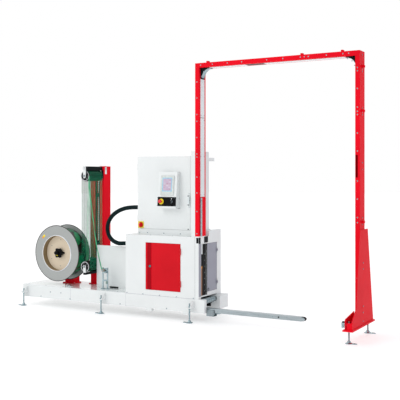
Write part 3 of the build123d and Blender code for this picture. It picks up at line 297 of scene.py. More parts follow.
class Shape:
    """Collects solids, in millimetres in the row frame, for one piece."""

    def __init__(self, place=None):
        self.verts, self.faces, self.mats = [], [], []
        self.place = place or Matrix.Identity(4)

    def put(self, verts, faces, mat=0):
        start = len(self.verts)
        self.verts += [self.place @ Vector(v) for v in verts]
        self.faces += [tuple(start + i for i in f) for f in faces]
        self.mats += [mat] * len(faces)
        return self

    def sweep(self, rings, mat=0, closed=False, caps=False):
        """Skins a row of rings with as many points each. closed joins the last to the first."""
        n, rows = len(rings[0]), len(rings)
        faces = [(j * n + k, j * n + (k + 1) % n, (j + 1) % rows * n + (k + 1) % n, (j + 1) % rows * n + k)
                 for j in range(rows if closed else rows - 1) for k in range(n)]
        if caps:
            faces += [tuple(range(n - 1, -1, -1)), tuple(range((rows - 1) * n, rows * n))]
        return self.put([v for ring in rings for v in ring], faces, mat)

    def block(self, x, y, z, mat=0):
        corners = [(a, b, c) for a in sorted(x) for b in sorted(y) for c in sorted(z)]
        faces = [(0, 1, 3, 2), (4, 6, 7, 5), (0, 4, 5, 1), (2, 3, 7, 6), (0, 2, 6, 4), (1, 5, 7, 3)]
        return self.put(corners, faces, mat)

    def prism(self, outline, plane, a, b, mat=0):
        """An outline in a plane ("XZ" and so on), drawn out from a to b along the third axis."""
        order = {"XZ": lambda p, h: (p[0], h, p[1]), "XY": lambda p, h: (p[0], p[1], h),
                 "YZ": lambda p, h: (h, p[0], p[1])}[plane]
        return self.sweep([[order(p, h) for p in outline] for h in (a, b)], mat, caps=True)

    def lathe(self, centre, axis, profile, n=32, mat=0, closed=False):
        """Turns (along, radius) points about an axis through centre. closed joins the ends of a ring."""
        a, u, v = {"X": ((1, 0, 0), (0, 1, 0), (0, 0, 1)), "Y": ((0, 1, 0), (0, 0, 1), (1, 0, 0)),
                   "Z": ((0, 0, 1), (1, 0, 0), (0, 1, 0))}[axis]
        a, u, v, c = Vector(a), Vector(u), Vector(v), Vector(centre)
        rings = [[c + a * h + (u * cos(t) + v * sin(t)) * r for t in turns(n)] for h, r in profile]
        return self.sweep(rings, mat, closed, caps=not closed)

    def blocks(self, *rows, mat=0):
        for x, y, z in rows:
            self.block(x, y, z, mat)

    def tube(self, centre, axis, a, b, low, high, n=32, mat=0):
        """A plain ring, from a to b along its axis and from radius low to high."""
        return self.lathe(centre, axis, [(a, low), (a, high), (b, high), (b, low)], n, mat, closed=True)

    def screw(self, at, axis, sign=-1, r=5, mat=0):
        """A button head with a socket, standing on a face."""
        h = r * 0.6
        profile = [(0, r), (h * 0.5, r), (h * 0.85, r * 0.8), (h, r * 0.52),
                   (h * 0.35, r * 0.48), (h * 0.35, r * 0.05)]
        return self.lathe(at, axis, [(sign * a, b) for a, b in profile], 12, mat)

    def hexagon(self, at, axis, across, length, mat=0):
        """A nut or a bolt head, chamfered at both ends."""
        r = across / 2 / cos(pi / 6)
        c, e = r * 0.93, 0.12 * length
        return self.lathe(at, axis, [(0, c), (e, r), (length - e, r), (length, c)], 6, mat)

    def make(self, name, mats, slot, bevel=0, body="frame", replaces=(), segments=2):
        """The piece, attached to its body, with the CAD nodes it replaces hidden. A blended piece has no body
        of its own.
        """
        mesh = bpy.data.meshes.new(name)
        mesh.from_pydata([v * MM for v in self.verts], [], self.faces)
        for mat in mats if isinstance(mats, list) else [mats]:
            mesh.materials.append(mat)
        for face, mat in zip(mesh.polygons, self.mats):
            face.material_index = mat
            face.use_smooth = True
        bm = bmesh.new()
        bm.from_mesh(mesh)
        bmesh.ops.recalc_face_normals(bm, faces=bm.faces)
        bm.to_mesh(mesh)
        bm.free()
        mesh.set_sharp_from_angle(angle=radians(32))
        piece = bpy.data.objects.new(name, mesh)
        bpy.context.scene.collection.objects.link(piece)
        if bevel:
            soften(piece, bevel, segments)
        if body:
            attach(piece, body)
        if replaces:
            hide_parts(*replaces)
        return piece


def soften(piece, width, segments=2):
    bevel = piece.modifiers.new("soft_edges", "BEVEL")
    bevel.width = width * MM
    bevel.segments = segments
    bevel.limit_method = "ANGLE"
    bevel.angle_limit = radians(35)
    bevel.harden_normals = True


def finish_node(name, mat, width):
    """A CAD node that stays: welded, its flat faces joined, edges softened, and a new material."""
    node = nodes[name]
    weld = node.modifiers.new("weld", "WELD")
    weld.merge_threshold = 0.00002
    flat = node.modifiers.new("flat", "DECIMATE")
    flat.decimate_type = "DISSOLVE"
    flat.angle_limit = radians(0.5)
    soften(node, width)
    node.data.materials.clear()
    node.data.materials.append(mat)


def centreline(points):
    """The points of the smooth NURBS line with these control points."""
    curve = bpy.data.curves.new("route", "CURVE")
    curve.dimensions = "3D"
    spline = curve.splines.new("NURBS")
    spline.points.add(len(points) - 1)
    for point, at in zip(spline.points, points):
        point.co = (*at, 1)
    spline.order_u = 3
    spline.use_endpoint_u = True
    spline.resolution_u = 40
    carrier = bpy.data.objects.new("route", curve)
    bpy.context.scene.collection.objects.link(carrier)
    bpy.context.view_layer.update()
    seen = carrier.evaluated_get(bpy.context.evaluated_depsgraph_get())
    line = bpy.data.meshes.new_from_object(seen)
    found = [v.co.copy() for v in line.vertices]
    bpy.data.objects.remove(carrier)
    bpy.data.meshes.remove(line)
    return found


def resample(points, step):
    """Points an even step apart along a line of points."""
    out, carry = [points[0]], 0.0
    for a, b in zip(points, points[1:]):
        length = (b - a).length
        at = step - carry
        while at <= length:
            out.append(a.lerp(b, at / length))
            at += step
        carry = length - (at - step)
    out.append(points[-1])
    return out


# ---- conduit: the one free cord --------------------------------------------
conduit_y, conduit_r, groove = 17.5, 23, 2.6
upper_exit, lower_exit = (-508.5, 1150), (cabinet_left, 752)
conduit_route = [(-0.5335, 1.150), (-0.6585, 1.150), (-0.8005, 1.112), (-0.9135, 1.035),
                 (-0.9665, 0.915), (-0.9265, 0.800), (-0.8205, 0.742), (-0.7085, 0.752),
                 (-0.6025, 0.752)]
conduit_line = centreline([(x, conduit_y * MM, z) for x, z in conduit_route])
route = resample(conduit_line, 0.0022)
across = Vector((0, 1, 0))
rings = []
for i, at in enumerate(route):
    ahead = (route[min(i + 1, len(route) - 1)] - route[max(i - 1, 0)]).normalized()
    side = across.cross(ahead)
    r = conduit_r - (0, groove, groove, 0)[i % 4]
    rings.append([at / MM + (across * cos(t) + side * sin(t)) * r for t in turns(24)])
conduit = Shape().sweep(rings, caps=True).make("conduit_hose", CONDUIT, "black_plastic",
                                               replaces=["conduit"])

glands = Shape()
for x, z in (upper_exit, lower_exit):
    glands.hexagon((x - 9, conduit_y, z), "X", 60, 9)
    glands.lathe((x, conduit_y, z), "X", [(-9, 27), (-22, 27), (-25, 25), (-25, 20), (-9, 20)])
    for t in turns(12):
        glands.lathe((x - 21, conduit_y + 27 * cos(t), z + 27 * sin(t)), "X", [(0, 1.6), (11, 1.6)], 8)
glands.make("conduit_gland_nuts", BLACK, "black_plastic", 0.5, replaces=["conduit_glands"])

# ---- CAD nodes that stay ---------------------------------------------------
finishes = {                             # by material: each node and the width of its soft edges
    WHITE: {"bed_rails": 2.2, "bed_cross_members": 1.2, "foot_brackets": 0.8, "end_frame": 1.4,
            "lower_cabinet": 1.0, "cabinet_plinth": 1.0, "upper_cabinet": 1.0, "upper_door": 1.0,
            "console": 1.0, "side_column": 1.0, "guard_panel": 0.6},
    DECK: {"deck_plate": 0.8},
    RED_DOOR_SHADE: {"lower_door": 1.0},
    GREY: {"side_door": 1.0},
    BLACK: {"control_panel": 0.6},
    PLASTIC: {"touch_panel": 1.5, "control_gear": 0.8},
    RED: {"arch_left_leg": 0.8, "arch_right_leg": 0.8, "arch_top_beam": 0.8, "arch_liners": 0.4,
          "arch_tabs": 1.5, "leg_base": 1.5, "reel_stand": 1.5, "tower_posts": 1.6},
    ALUMINIUM: {"lance_beam": 0.5},
    STEEL: {"lance_guide": 0.8, "lance_bracket": 0.8, "strapping_head": 1.0},
    ZINC: {"lance_dock": 1.0, "guide_stand": 0.6, "lower_door_lock": 0.5},
    HINGE: {"door_hinges": 0.4},
    YELLOW: {"main_switch_plate": 0.6},
    DARK: {"lance_motor": 0.8},
}
for mat, widths in finishes.items():
    for name, width in widths.items():
        finish_node(name, mat, width)

# ---- levelling feet --------------------------------------------------------
feet = Shape()
bed_feet = [(x, y, -1, (150, 158)) for x in (-1975.5, -870.5, 242.5) for y in (-212.5, 389.5)]
leg_feet = [(1975.5, y, 1, (114, 128)) for y in (-361.5, 182.5)]
for x, y, lug, shelf in bed_feet + leg_feet:       # shelf: the plate that the rod goes through
    feet.lathe((x, y, 0), "Z", [(0, 34), (2, 35), (5, 35), (7, 31), (10, 23), (14, 18), (19, 16),
                                (22, 15), (25, 12), (29, 9)], 28)
    feet.block((x, x + lug * 52), (y - 17, y + 17), (0.2, 6))
    feet.tube((x + lug * 60, y, 0), "Z", 0.2, 6, 6, 17, 20)
    feet.lathe((x, y, 27), "Z", [(i * 1.75, 8 if i % 2 else 6.9) for i in range(99)], 12)
    for nut, washer in ((shelf[0] - 12, shelf[0] - 2), (shelf[1], shelf[1])):
        feet.hexagon((x, y, nut), "Z", 24, 12)
        feet.lathe((x, y, washer), "Z", [(0, 15), (0.4, 15.5), (1.6, 15.5), (2, 15)], 20)
feet.make("levelling_feet_turned", ZINC, "zinc_steel", replaces=["levelling_feet"])


# ---- screws ----------------------------------------------------------------
def screws(name, places, axis, sign, r):
    """One piece of zinc button heads of radius r on the frame, standing out along sign."""
    shape = Shape()
    for at in places:
        shape.screw(at, axis, sign, r)
    shape.make(name, ZINC, "zinc_steel")


screws("bed_front_screws", [(x, bed_front, 174) for x in (-1617, -1465)]
       + [(x, bed_front, 116) for x in (-1756, -1335, -650, -60)], "Y", -1, 6)
screws("cabinet_flange_screws", [(x, bed_front, 246) for x in (-560, -355, -148, 60, 262)], "Y", -1, 5.5)
screws("plinth_screws", [(x, upper_front, 884) for x in (-484, -384, -177, 28, 178)], "Y", -1, 5.5)
screws("cabinet_top_screws", [(x, -150, 868) for x in (-545, -273, 0)]
       + [(x, 296, 868) for x in (-545, 240)], "Z", 1, 5.5)
screws("cabinet_left_screws", [(cabinet_left, y, z) for y in (-140, 80, 290) for z in (262, 845)],
       "X", -1, 5.5)
panel, proud = Shape(), 2
panel.block((-520, 220), (cabinet_rear, cabinet_rear + proud), (290, 830))
for k in range(9):
    y, z = cabinet_rear + proud, 700 - k * 16
    for left in (-430, 20):
        panel.prism([(y, z), (y + 5, z - 2), (y, z - 11)], "YZ", left, left + 110)
panel.make("lower_rear_panel", WHITE, "white_paint", 0.7)
screws("rear_panel_screws", [(x, cabinet_rear + proud, z) for x in (-505, -150, 205)
                             for z in (305, 560, 815)], "Y", 1, 6)
vents = Shape()
vents.block((-458, 142), (upper_rear - proud, upper_rear), (975, 1650))
for k in range(12):
    z = 1600 - k * 15
    vents.prism([(upper_rear, z), (upper_rear + 4.5, z - 2), (upper_rear, z - 10)], "YZ", -220, -96)
vents.make("upper_rear_panel", WHITE, "white_paint", 0.7)
screws("upper_rear_screws", [(x, upper_rear, z) for x in (-440, -158, 124) for z in (992, 1634)],
       "Y", 1, 6)

leg_z = (2446, 2283, 2115, 2046, 1882, 1714, 1684, 1480, 1318, 1130, 905)
far_z = (2478, 2449, 2287, 2118, 2079, 2050, 1882, 1718, 1445, 1281, 1112, 1066, 560, 330)
top_x = (345, 480, 650, 810, 1080, 1250, 1430, 1470, 1510, 1690, 1850, 1905)
upper_z = (2601, 2473, 2449, 2113, 2078)
near, far, top = [(301.5, z) for z in leg_z], [(1988, z) for z in far_z], [(x, 2614) for x in top_x]
screws("arch_front_screws", [(x, arch_front, z) for x, z in near + far + top], "Y", -1, 6.5)
screws("arch_rear_screws", [(x, arch_rear, z) for x, z in near + far[:12] + top], "Y", 1, 6.5)
screws("arch_side_screws", [(far_out, arch_middle, z) for z in (*upper_z, 2052, 1613, 1552, 1110, 1047)]
       + [(leg_plate, arch_middle, z) for z in (696, 640, 298, 241, 160)], "X", 1, 7)
screws("arch_left_screws", [(near_out, arch_middle, z) for z in (*upper_z, 1990)], "X", -1, 7)

# ---- arch: covers over the strap track, corner guides, seams ---------------
covers, track, thick = Shape(), (-131.5, -49.5), 2.5
covers.blocks(*[((near_in, near_in + thick), track, z) for z in ((1278, 2082), (2086, 2477))])
covers.blocks(*[((far_in - thick, far_in), track, z) for z in ((300, 1080), (1084, 1880), (1884, 2477))])
covers.blocks(*[(x, track, (beam_under - thick, beam_under)) for x in ((426.5, 831.5), (1031.5, 1851.5))])
covers.block((1971.5, 2008.5), (bed_front, arch_front), (652, 1044), 1)
covers.make("track_covers", [COVER, RED], "white_paint", 0.8, replaces=["arch_covers"])
screws("cover_screws", [(near_in + thick, y, z) for y in (-122, -59) for z in (1300, 1690, 2060, 2108, 2455)],
       "X", 1, 4)
gap, slit = Shape(), (-128, -53)
gap.blocks(((835, 1028), slit, (2588.6, beam_under)), ((322.6, 324.2), slit, (2082.2, 2085.8)),
           ((322.4, 324), slit, (2478, 2492)))
gap.make("track_gaps", DARK, "dark_paint", 0.2)

guides, corner = Shape(), 100            # the corner guides fill a square of this side
for x, side in ((near_in, 1), (far_in, -1)):
    outer, inner = [[(x + side * (corner - r * sin(t)), beam_under - corner + r * cos(t) - drop)
                     for t in arc(0, pi / 2, 14)] for r, drop in ((96, 2), (90, 0))]
    cheek = [(x, beam_under), (x + side * corner, beam_under)] + outer + [(x, beam_under - corner)]
    for y in ((-131.5, -118), (-63, -49.5)):
        guides.prism(cheek, "XZ", *y, 1)
    guides.prism(outer + inner[::-1], "XZ", -118, -63)
    for t in (pi / 12, pi / 4, pi * 5 / 12):
        guides.lathe((x + side * (112 - 101 * sin(t)), 0, 2480 + 94 * cos(t)), "Y",
                     [(-134, 6), (-131, 6.6), (-130, 6.6)], 12)
guides.block((near_in, 332.5), (-139.5, -107.5), (876, 1270))
guides.block((near_in, 328.5), (-106.5, -26.5), (876, 1270), 2)
guides.block((291.5, 317.5), (-115.5, -85.5), (266, 795), 1)
guides.block((316, 321), (-104, -84), (690, 795), 3)
guides.make("strap_guides_formed", [ZINC, DARK, RED, COVER], "grey_paint", 0.7, replaces=["strap_guides"])
screws("guide_screws", [(332.5, -123.5, z) for z in (900, 1010, 1120, 1240)]
       + [(317.5, -112, z) for z in (290, 470, 640, 780)], "X", 1, 4.5)

bay = Shape()                            # black blocks as painted shade: the end bay's shaded inside, and the dark opening at its mouth
bay.blocks(
    ((262, 266), (-150, 4), (243, 864)), ((262, 279), (4, 8), (243, 864)),
    ((262, 279), (-154, -150), (243, 864)), ((296, 322), (-168.6, -167), (806, 862)),
    ((323.4, 325), (-166, -128), (800, 864)), ((323.4, 325), (-54, 26), (804, 868)),
    ((323.4, 324.4), (-9, 9.5), (266, 795)), ((316, 319), (-83, -8), (266, 795)),
    ((278.9, 280.1), (-168.1, -167.3), (deck_top, 866)))
for k in range(14):
    z = 280 + k * 35
    bay.block((268, 300 - (k % 3) * 7), (-46, -20 + (k % 2) * 8), (z, z + 21))
bay.blocks(((200, 321), (88, 96), (132, 238)), ((296, 323), (-116, -70), (243, 251)),
           ((323.4, 330), (70, 96), (168, 204)), ((296, 322), (-118, -104), (243, 262)))
bay.make("bay_painted_shade", BLACK, "black_plastic", 1.0)
# A grey strip on the post's outer face: painted shade where the post lies in shadow.
post = Shape().block((323.3, 324.6), (-164, -117), (262, 798))
post.make("bay_post_painted_shade", GREY, "grey_paint", 0.4)
clips = Shape()
for k in range(7):
    clips.screw((319, -36, 310 + k * 63), "X", 1, 5)
    clips.screw((324.4, -2 + 6 * (k % 2), 335 + k * 63), "X", 1, 4)
clips.make("bay_clips", STEEL, "bare_steel")

# ---- rollers ---------------------------------------------------------------
def roller(name, centre, y, radius, bore, body, node, slot, mats, lands=0, knurl=False):
    """A turned roller along Y: plain, knurled or with raised lands between its straps."""
    a, b = y
    profile = [(a, bore + 6), (a + 1.5, bore + 6), (a + 1.5, radius - 5), (a, radius - 4),
               (a, radius - 1), (a + 1, radius)]
    if lands:
        pitch, half = (b - a - 30) / lands, 1.3
        for i in range(lands + 1):
            middle = a + 15 + i * pitch - (pitch - 15.5) / 2 if i < lands else b - 13
            profile += [(middle - half, radius), (middle - half + 0.6, radius + 2),
                        (middle + half - 0.6, radius + 2), (middle + half, radius)]
    if knurl:
        steps = int((b - a) / 2.4)
        profile += [(a + 2 + i * (b - a - 4) / steps, radius - (0.7 if i % 2 else 0))
                    for i in range(steps)]
    profile += [(b - 1, radius), (b, radius - 1), (b, radius - 4), (b - 1.5, radius - 5),
                (b - 1.5, bore + 6), (b, bore + 6), (b, bore), (a, bore)]
    shape, at = Shape(), (centre[0], 0, centre[1])
    shape.lathe(at, "Y", profile, 48, 0, closed=True)
    shape.tube(at, "Y", a - 0.4, a + 2, bore, bore + 5, 32, 1)
    if lands:
        shape.tube(at, "Y", a - 0.6, a + 2, radius - 8, radius - 3, 48, 1)
    if radius > 30:
        reach = (radius + bore) / 2 + 1
        for t in turns(6):
            shape.screw((at[0] + reach * cos(t), a + 1.5, at[2] + reach * sin(t)), "Y", -1, 3.5, 1)
    return shape.make(name, mats, slot, body=body, replaces=[node])


loop_y = (-75.5, 184.5)
roller("top_roller_turned", (lx, hi), loop_y, loop_r, 10.05, "top_roller", "top_roller",
       "black_rubber", [BLACK, RIM], lands=12)
roller("dancer_roller_turned", (lx, lo), loop_y, loop_r, 10.05, "dancer_roller",
       "dancer_roller", "black_rubber", [BLACK, RIM], lands=12)
roller("tip_roller_turned", (tip_x, lance_z), (-112, -74.5), 17, 5.05, "tip_roller",
       "lance_tip_roller", "black_rubber", [RUBBER, STEEL], knurl=True)
roller("support_roller_turned", (451.5, 90.7), (lance_front, lance_back), 15, 4.05, "support_roller",
       "lance_support_roller", "bare_steel", [ZINC, STEEL])
roller("drive_wheel_turned", (11.5, 188.3), (-113.5, -73.5), 40, 9.05, "drive_wheel",
       "lance_drive_wheel", "black_rubber", [RUBBER, STEEL], knurl=True)
roller("feed_roller_turned", (feed_x, feed_z), (-111.5, -61.5), 30, 8.05, "feed_roller",
       "feed_roller", "black_rubber", [ZINC, STEEL], knurl=True)
roller("guide_roller_turned", (gx, gz), (-87.5, -61.5), 16, 5.05, "guide_roller",
       "guide_roller", "roller_beige", [ROLLER, STEEL])

# ---- reel ------------------------------------------------------------------
hub = (rx, 0, rz)
core_out, flange_out = 203.2, 312
spool = Shape()
spool.lathe(hub, "Y", [(-94.5, core_out), (-94.5, flange_out), (-97.5, flange_out), (-97.5, 216),
                       (-98.4, 211), (-97, core_out)], 96, 0, closed=True)
spool.tube(hub, "Y", 97.5, 100.5, core_out, flange_out, 96)
for y, out in ((-96, -1), (99, 1)):      # the rolled rims, near-black: painted dark reflection
    spool.lathe(hub, "Y", [(y + 3 * cos(t) * out, 315.6 + 4.4 * sin(t)) for t in turns(10)],
                96, 3, closed=True)
spool.lathe(hub, "Y", [(-103.2, 200.2), (-104.4, 203), (-104, 206.5), (-101.5, 209), (-98.5, 210.5),
                       (-96.5, 209), (-96.5, 200.2)], 96, 1, closed=True)
spool.tube(hub, "Y", -97, 100.5, 200, 203.4, 96, 2)
for t in turns(12, 0.13):
    spool.screw((rx + 222 * cos(t), 100.5, rz + 222 * sin(t)), "Y", 1, 4, 1)
spool.make("reel_spool_spun", [SPUN, RIM, WALL, EDGE], "reel_steel", body="reel", replaces=["reel_spool"])

disc, bore = Shape(), 15.1
disc.lathe(hub, "Y", [(-30, bore), (-32, 40), (-33, 62), (-31.5, 70), (-31.5, 185), (-34, 191),
                      (-35, 196), (-33, 199.7), (-25.6, 199.7), (-25.5, bore)], 96, 0, closed=True)
disc.lathe(hub, "Y", [(-53.5, bore), (-53.5, 32), (-51, 34), (-33, 34), (-31, 40), (-31, bore)],
           48, 1, closed=True)
disc.lathe(hub, "Y", [(-25.5, bore), (-25.5, 34), (-6, 34), (-3.5, 32), (-3.5, bore)], 48, 1, closed=True)
disc.hexagon((rx + 52, -31.5, rz), "Y", 22, -12, 1)
disc.lathe((rx + 52, -31, rz), "Y", [(-15, 6), (-15.5, 5), (0, 6)], 16, 1)
for t in turns(6, 0.5):
    disc.screw((rx + 150 * cos(t), -31.5, rz + 150 * sin(t)), "Y", -1, 4.5, 2)
disc.make("reel_disc_dished", [BEIGE, BLACK, ZINC], "reel_disc_paint", body="reel", replaces=["reel_disc"])

wheel = Shape()
wheel.prism([(rx + (52 + 7 * cos(6 * t)) * cos(t), rz + (52 + 7 * cos(6 * t)) * sin(t))
             for t in turns(96)], "XZ", -78, -56)
wheel.lathe(hub, "Y", [(-56, 30), (-53.6, 28), (-53.6, 15.2)], 48)
wheel.lathe(hub, "Y", [(-76, 34), (-79, 31), (-80.5, 26), (-80.5, 21), (-76, 19)], 48)
wheel.lathe(hub, "Y", [(-76, 15.4), (-84.6, 14), (-86, 10), (-86, 0.4)], 32, 1)
for k in range(5):                       # a short yellow arc on the hub
    t = radians(196 + k * 14)
    wheel.lathe((rx + 28 * cos(t), -80.4, rz + 28 * sin(t)), "Y", [(0, 6), (-0.6, 6), (-0.9, 5)], 16, 2)
wheel.lathe(hub, "Y", [(-84, 20.6), (-103.5, 20.6), (-107.5, 17), (-108.5, 10), (-108.5, 0.5)], 32)
wheel.make("reel_handwheel_moulded", [BLACK, STEEL, YELLOW], "black_plastic", 2.5, body="reel",
           segments=3, replaces=["reel_handwheel"])

label = Shape(Matrix.Translation((rx - 193, 0, rz + 184)) @ Matrix.Rotation(radians(-44), 4, "Y"))
label.block((-24, 24), (-98.0, -97.4), (-12, 12), 0)
label.block((-24, -4), (-98.2, -97.9), (-12, 12), 1)
label.make("reel_marker", [YELLOW, ORANGE], "yellow_plastic", 0.2, body="reel")

coil, edge = Shape(), 92
coil.lathe(hub, "Y", [(-edge, 203.3), (-edge, 268), (2 - edge, 271), (edge - 2, 271), (edge, 268),
                      (edge, 203.3)], 96, 0, closed=True)
wraps, half = 11.5, 8.2                  # turns in a layer, and half the strap's drawn width
steps = int(wraps * 72)
for radius, sense, phase in ((272.4, 1, 0.0), (273.6, -1, 0.7)):
    rings = []
    for i in range(steps + 1):
        t = i / steps
        y = sense * (-83 + 166 * t) + 1.6 * sin(9 * t + phase) + random.uniform(-0.35, 0.35)
        a = 2 * pi * wraps * t + phase
        r = radius + random.uniform(0, 0.45)
        rings.append([(rx + (r + lift) * cos(a), max(-91.5, min(91.5, y + dy)), rz + (r + lift) * sin(a))
                      for dy, lift in ((-half, 0), (half, 0), (half, 0.9), (-half, 0.9))])
    coil.sweep(rings)
coil.make("strap_coil_wound", STRAP, "strap_green", body="reel", replaces=["strap_coil"])

stand = Shape().block((rx - 48, rx + 48), (116.5, 120.5), (300, 560))
for x in (-78, 78):
    for y in (118, 228):
        stand.screw((rx + x, y, 251), "Z", 1, 7, 1)
stand.make("reel_stand_fittings", [RED, ZINC], "red_paint", 1.0)
brake = Shape().block((rx - 40, rx - 6), (100.9, 112), (700, 730))
brake.lathe((rx - 23, 0, 715), "Y", [(112, 9), (122, 9), (124, 7)], 20)
brake.make("reel_brake", DARK, "dark_paint", 1.0)

# ---- the strap's free runs -------------------------------------------------
run, half, y = Shape(), 7.75, -75.5
hang = [(-1138.4, 1491), (-1141, 1420), (-1132, 1330), (-1113, 1190), (-1091, 1056), (-1064, 880),
        (-1034, 712), (-1000, 580), (-962.8, 449)]
rings = []
for i, (x, z) in enumerate(hang):
    twist = radians(8 * sin(i * 0.9))
    rings.append([(x + lift * cos(twist) + side * half * sin(twist), y + side * half * cos(twist), z)
                  for side, lift in ((-1, 0), (-1, 0.9), (1, 0.9), (1, 0))])
run.sweep(rings, caps=True)
run.block((319, 320.4), (-106, -90), (268, 556), 1)
run.block((319, 320.8), (-107, -89), (545, 566), 2)
run.make("strap_free_runs", [BRIGHT, COPPER, ORANGE], "strap_green", 0.2, replaces=["feed_strap"])

# ---- accumulator: loops, head, carriage, rail ------------------------------
lr = loop_r + 0.3                        # inner radius of a strap round a roller


def loop_path(sway):
    """(x, z, outward x, outward z) round both rollers, the straight runs bowed in by sway."""
    path, n = [], 24
    for start, z, end, out in ((0, hi, lo, -1), (pi, lo, hi, 1)):
        path += [(lx + lr * cos(t), z + lr * sin(t), cos(t), sin(t)) for t in arc(start, start + pi, 16)]
        path += [(lx + out * (lr - sway * sin(pi * i / n)), z + (end - z) * i / n, out, 0)
                 for i in range(1, n)]
    return path


loops, count, wide, thick = Shape(), 12, 15.5, 0.8
for i in range(count):
    y = -60.5 + i * 230 / count
    loops.sweep([[(x, y, z), (x, y + wide, z), (x + ox * thick, y + wide, z + oz * thick),
                  (x + ox * thick, y, z + oz * thick)] for x, z, ox, oz in loop_path((i * 37 % 5) * 0.5)],
                closed=True)
for x0, z0, x1, z1, y in ((-1130, 1423, -1158, 551, -76.5), (-1146, 1405, -1180, 540, -77.5)):
    steps = 30                           # a painted highlight: a bright strand in the lit strap green, two thin strips, one behind the other
    for deep in (0, 1.0):
        verts = [(x0 + (x1 - x0) * k / steps + w, y + deep, z0 + (z1 - z0) * k / steps)
                 for k in range(steps + 1) for w in (0, 3.2)]
        loops.put(verts, [(2 * k, 2 * k + 1, 2 * k + 3, 2 * k + 2) for k in range(steps)], 1)
loops = loops.make("strap_loops_hung", [LOOPS, BRIGHT], "strap_green", body=None)
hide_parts("strap_loops")
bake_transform(loops)

arm_x, arm_y = (lx - 17, lx + 17), (-87.5, -79.5)
axle = [(-90, 6), (-91, 9), (-88, 11), (-79, 10)]
head = Shape()
head.prism([(lx + 17 * cos(t), 1484 + 17 * sin(t)) for t in arc(pi, 2 * pi, 12)]
           + [(arm_x[1], 1602), (arm_x[0], 1602)], "XZ", *arm_y)
head.blocks(((lx - 25, lx + 25), (-79.5, 212.5), (1556, 1598)),
            ((lx + 4, -1157.5), (202.5, 212.5), (1466, 1556)),
            ((lx - 12, lx + 12), (-72, 186), (1545, 1558)), mat=1)
head.block(arm_x, (186.5, 202.5), (1467, 1556))
head.lathe((lx, 0, hi), "Y", axle + [(186, 10)], 24, 2)
head.hexagon((lx, -87.5, hi), "Y", 22, -6, 2)
for z in (1570, 1588):
    head.screw((lx, -87.5, z), "Y", -1, 5, 2)
head.make("tower_head_built", [WHITE, DARK, STEEL], "dark_paint", 1.2, replaces=["tower_head"])

dancer = Shape()
# The two dark blocks, a plate behind the roller and a bar below it, are painted shade: black where the
# carriage lies in shadow.
dancer.block((-1335.5, -1155.5), (187.5, 212.2), (385, 550), 1)
dancer.block(arm_x, (-87.5, 187.5), (385, 409), 1)
dancer.block(arm_x, arm_y, (409, 490))
dancer.lathe((lx, 0, lo), "Y", axle + [(187, 10)], 24, 2)
dancer.hexagon((lx, -87.5, lo), "Y", 22, -6, 2)
dancer.lathe((lx, 0, lo), "Y", [(184.8, 70), (187.5, 70)], 48, 1)
for x in (-1318, -1173):
    for z in (400, 535):
        dancer.screw((x, 187.5, z), "Y", -1, 6, 2)
dancer.make("dancer_carriage_built", [WHITE, DARK, STEEL], "white_paint", 1.2, body="dancer",
            replaces=["dancer_frame"])

rail = Shape()
for x in (-1270, -1220):
    rail.block((x, x + 4), (213.5, 232), (560, 1430))
for k in range(41):
    z = 570 + k * 21
    rail.block((-1266, -1220), (226, 229), (z, z + 11))
for z in (725, 1270):
    rail.block((-1276, -1207), (224, 232.5), (z - 20, z + 20))
rail.make("tower_drilled_rail", DARK, "dark_paint", 0.5)
tower = Shape()
tower.block((-1151.6, -1151), (236, 268), (1512, 1592))
tower.block((-1151.2, -1150.7), (242, 262), (1562, 1584), 1)
tower.block((-1222, -1160), (214, 262), (1602, 1606))
tower.make("tower_label", [COVER, LOOPS], "white_paint", 0.3)
base = Shape()
for x0, x1, y1 in ((-1339.5, -1276.5, 272.5), (-1206.5, -1151.5, 342.5)):
    base.block((x0 - 14, x1 + 14), (196, y1 + 14), (deck_top, 249))
    for x in (x0 - 7, x1 + 7):
        base.screw((x, y1 + 7, 249), "Z", 1, 6, 1)
base.make("tower_base_plates", [RED, ZINC], "red_paint", 0.8)
screws("tower_bolts", [(-1179, 342.5, z) for z in (300, 725, 1270, 1500)]
       + [(-1308, 272.5, z) for z in (300, 725, 1270)], "Y", 1, 7)

# ---- guide stand and deck fittings -----------------------------------------
stand = Shape()
for x in (-976.5, -946.5, -914.5, -884.5):
    for y in (-64, -46):
        stand.screw((x, y, 247), "Z", 1, 4.5)
for x, z in ((-895.5, 466), (-915.5, 430)):
    stand.lathe((x, 0, z), "Y", [(-86, 3), (-86.5, 8), (-85, 9.8), (-80, 9.8), (-79, 7.5), (-68, 7.5),
                                 (-67, 9.8), (-62, 9.8), (-60, 9)], 24)
for z in (337, 460):
    stand.screw((-930, -59.5, z), "Y", -1, 4.5)
stand.hexagon((gx, -87.5, gz), "Y", 13, -5)
stand.make("guide_stand_fittings", ZINC, "zinc_steel")
plate = Shape().block((-920, -894), (-60.6, -59.4), (300, 330))
plate.make("guide_stand_plate", LOOPS, "zinc_steel", 0.3)
deck = Shape()
deck.blocks(((-1438, -1366), (-112, -78), (deck_top, 245)),
            ((-1438, -1432), (-112, -78), (deck_top, 262)))
deck.lathe((-1402, -95, 245), "Z", [(0, 11), (2, 11), (7, 8), (14, 7)], 20, 1)
deck.block((-953.5, -833.5), (56, 58), (deck_top, 258), 2)
for x in (-1950, -1700, -1450, -1200, -950, -700):
    for y in (-148, 326):
        deck.screw((x, y, deck_top), "Z", 1, 5, 1)
deck.make("deck_fittings", [WHITE, ZINC, BLACK], "white_paint", 0.5)
seams = Shape()
for x in (-1328.6, -577.9):
    seams.blocks(((x, x + 1.4), (-167.9, -160), (99, 238)), ((x, x + 1.4), (344, 344.9), (99, 238)))
seams.blocks(((cabinet_left, near_out), (-167.8, -166), (237, 239.4)),
             ((near_in, 391.4), (-167.7, -165), (237.4, 238.2)))
seams.make("sheet_seams", GREY, "grey_paint")
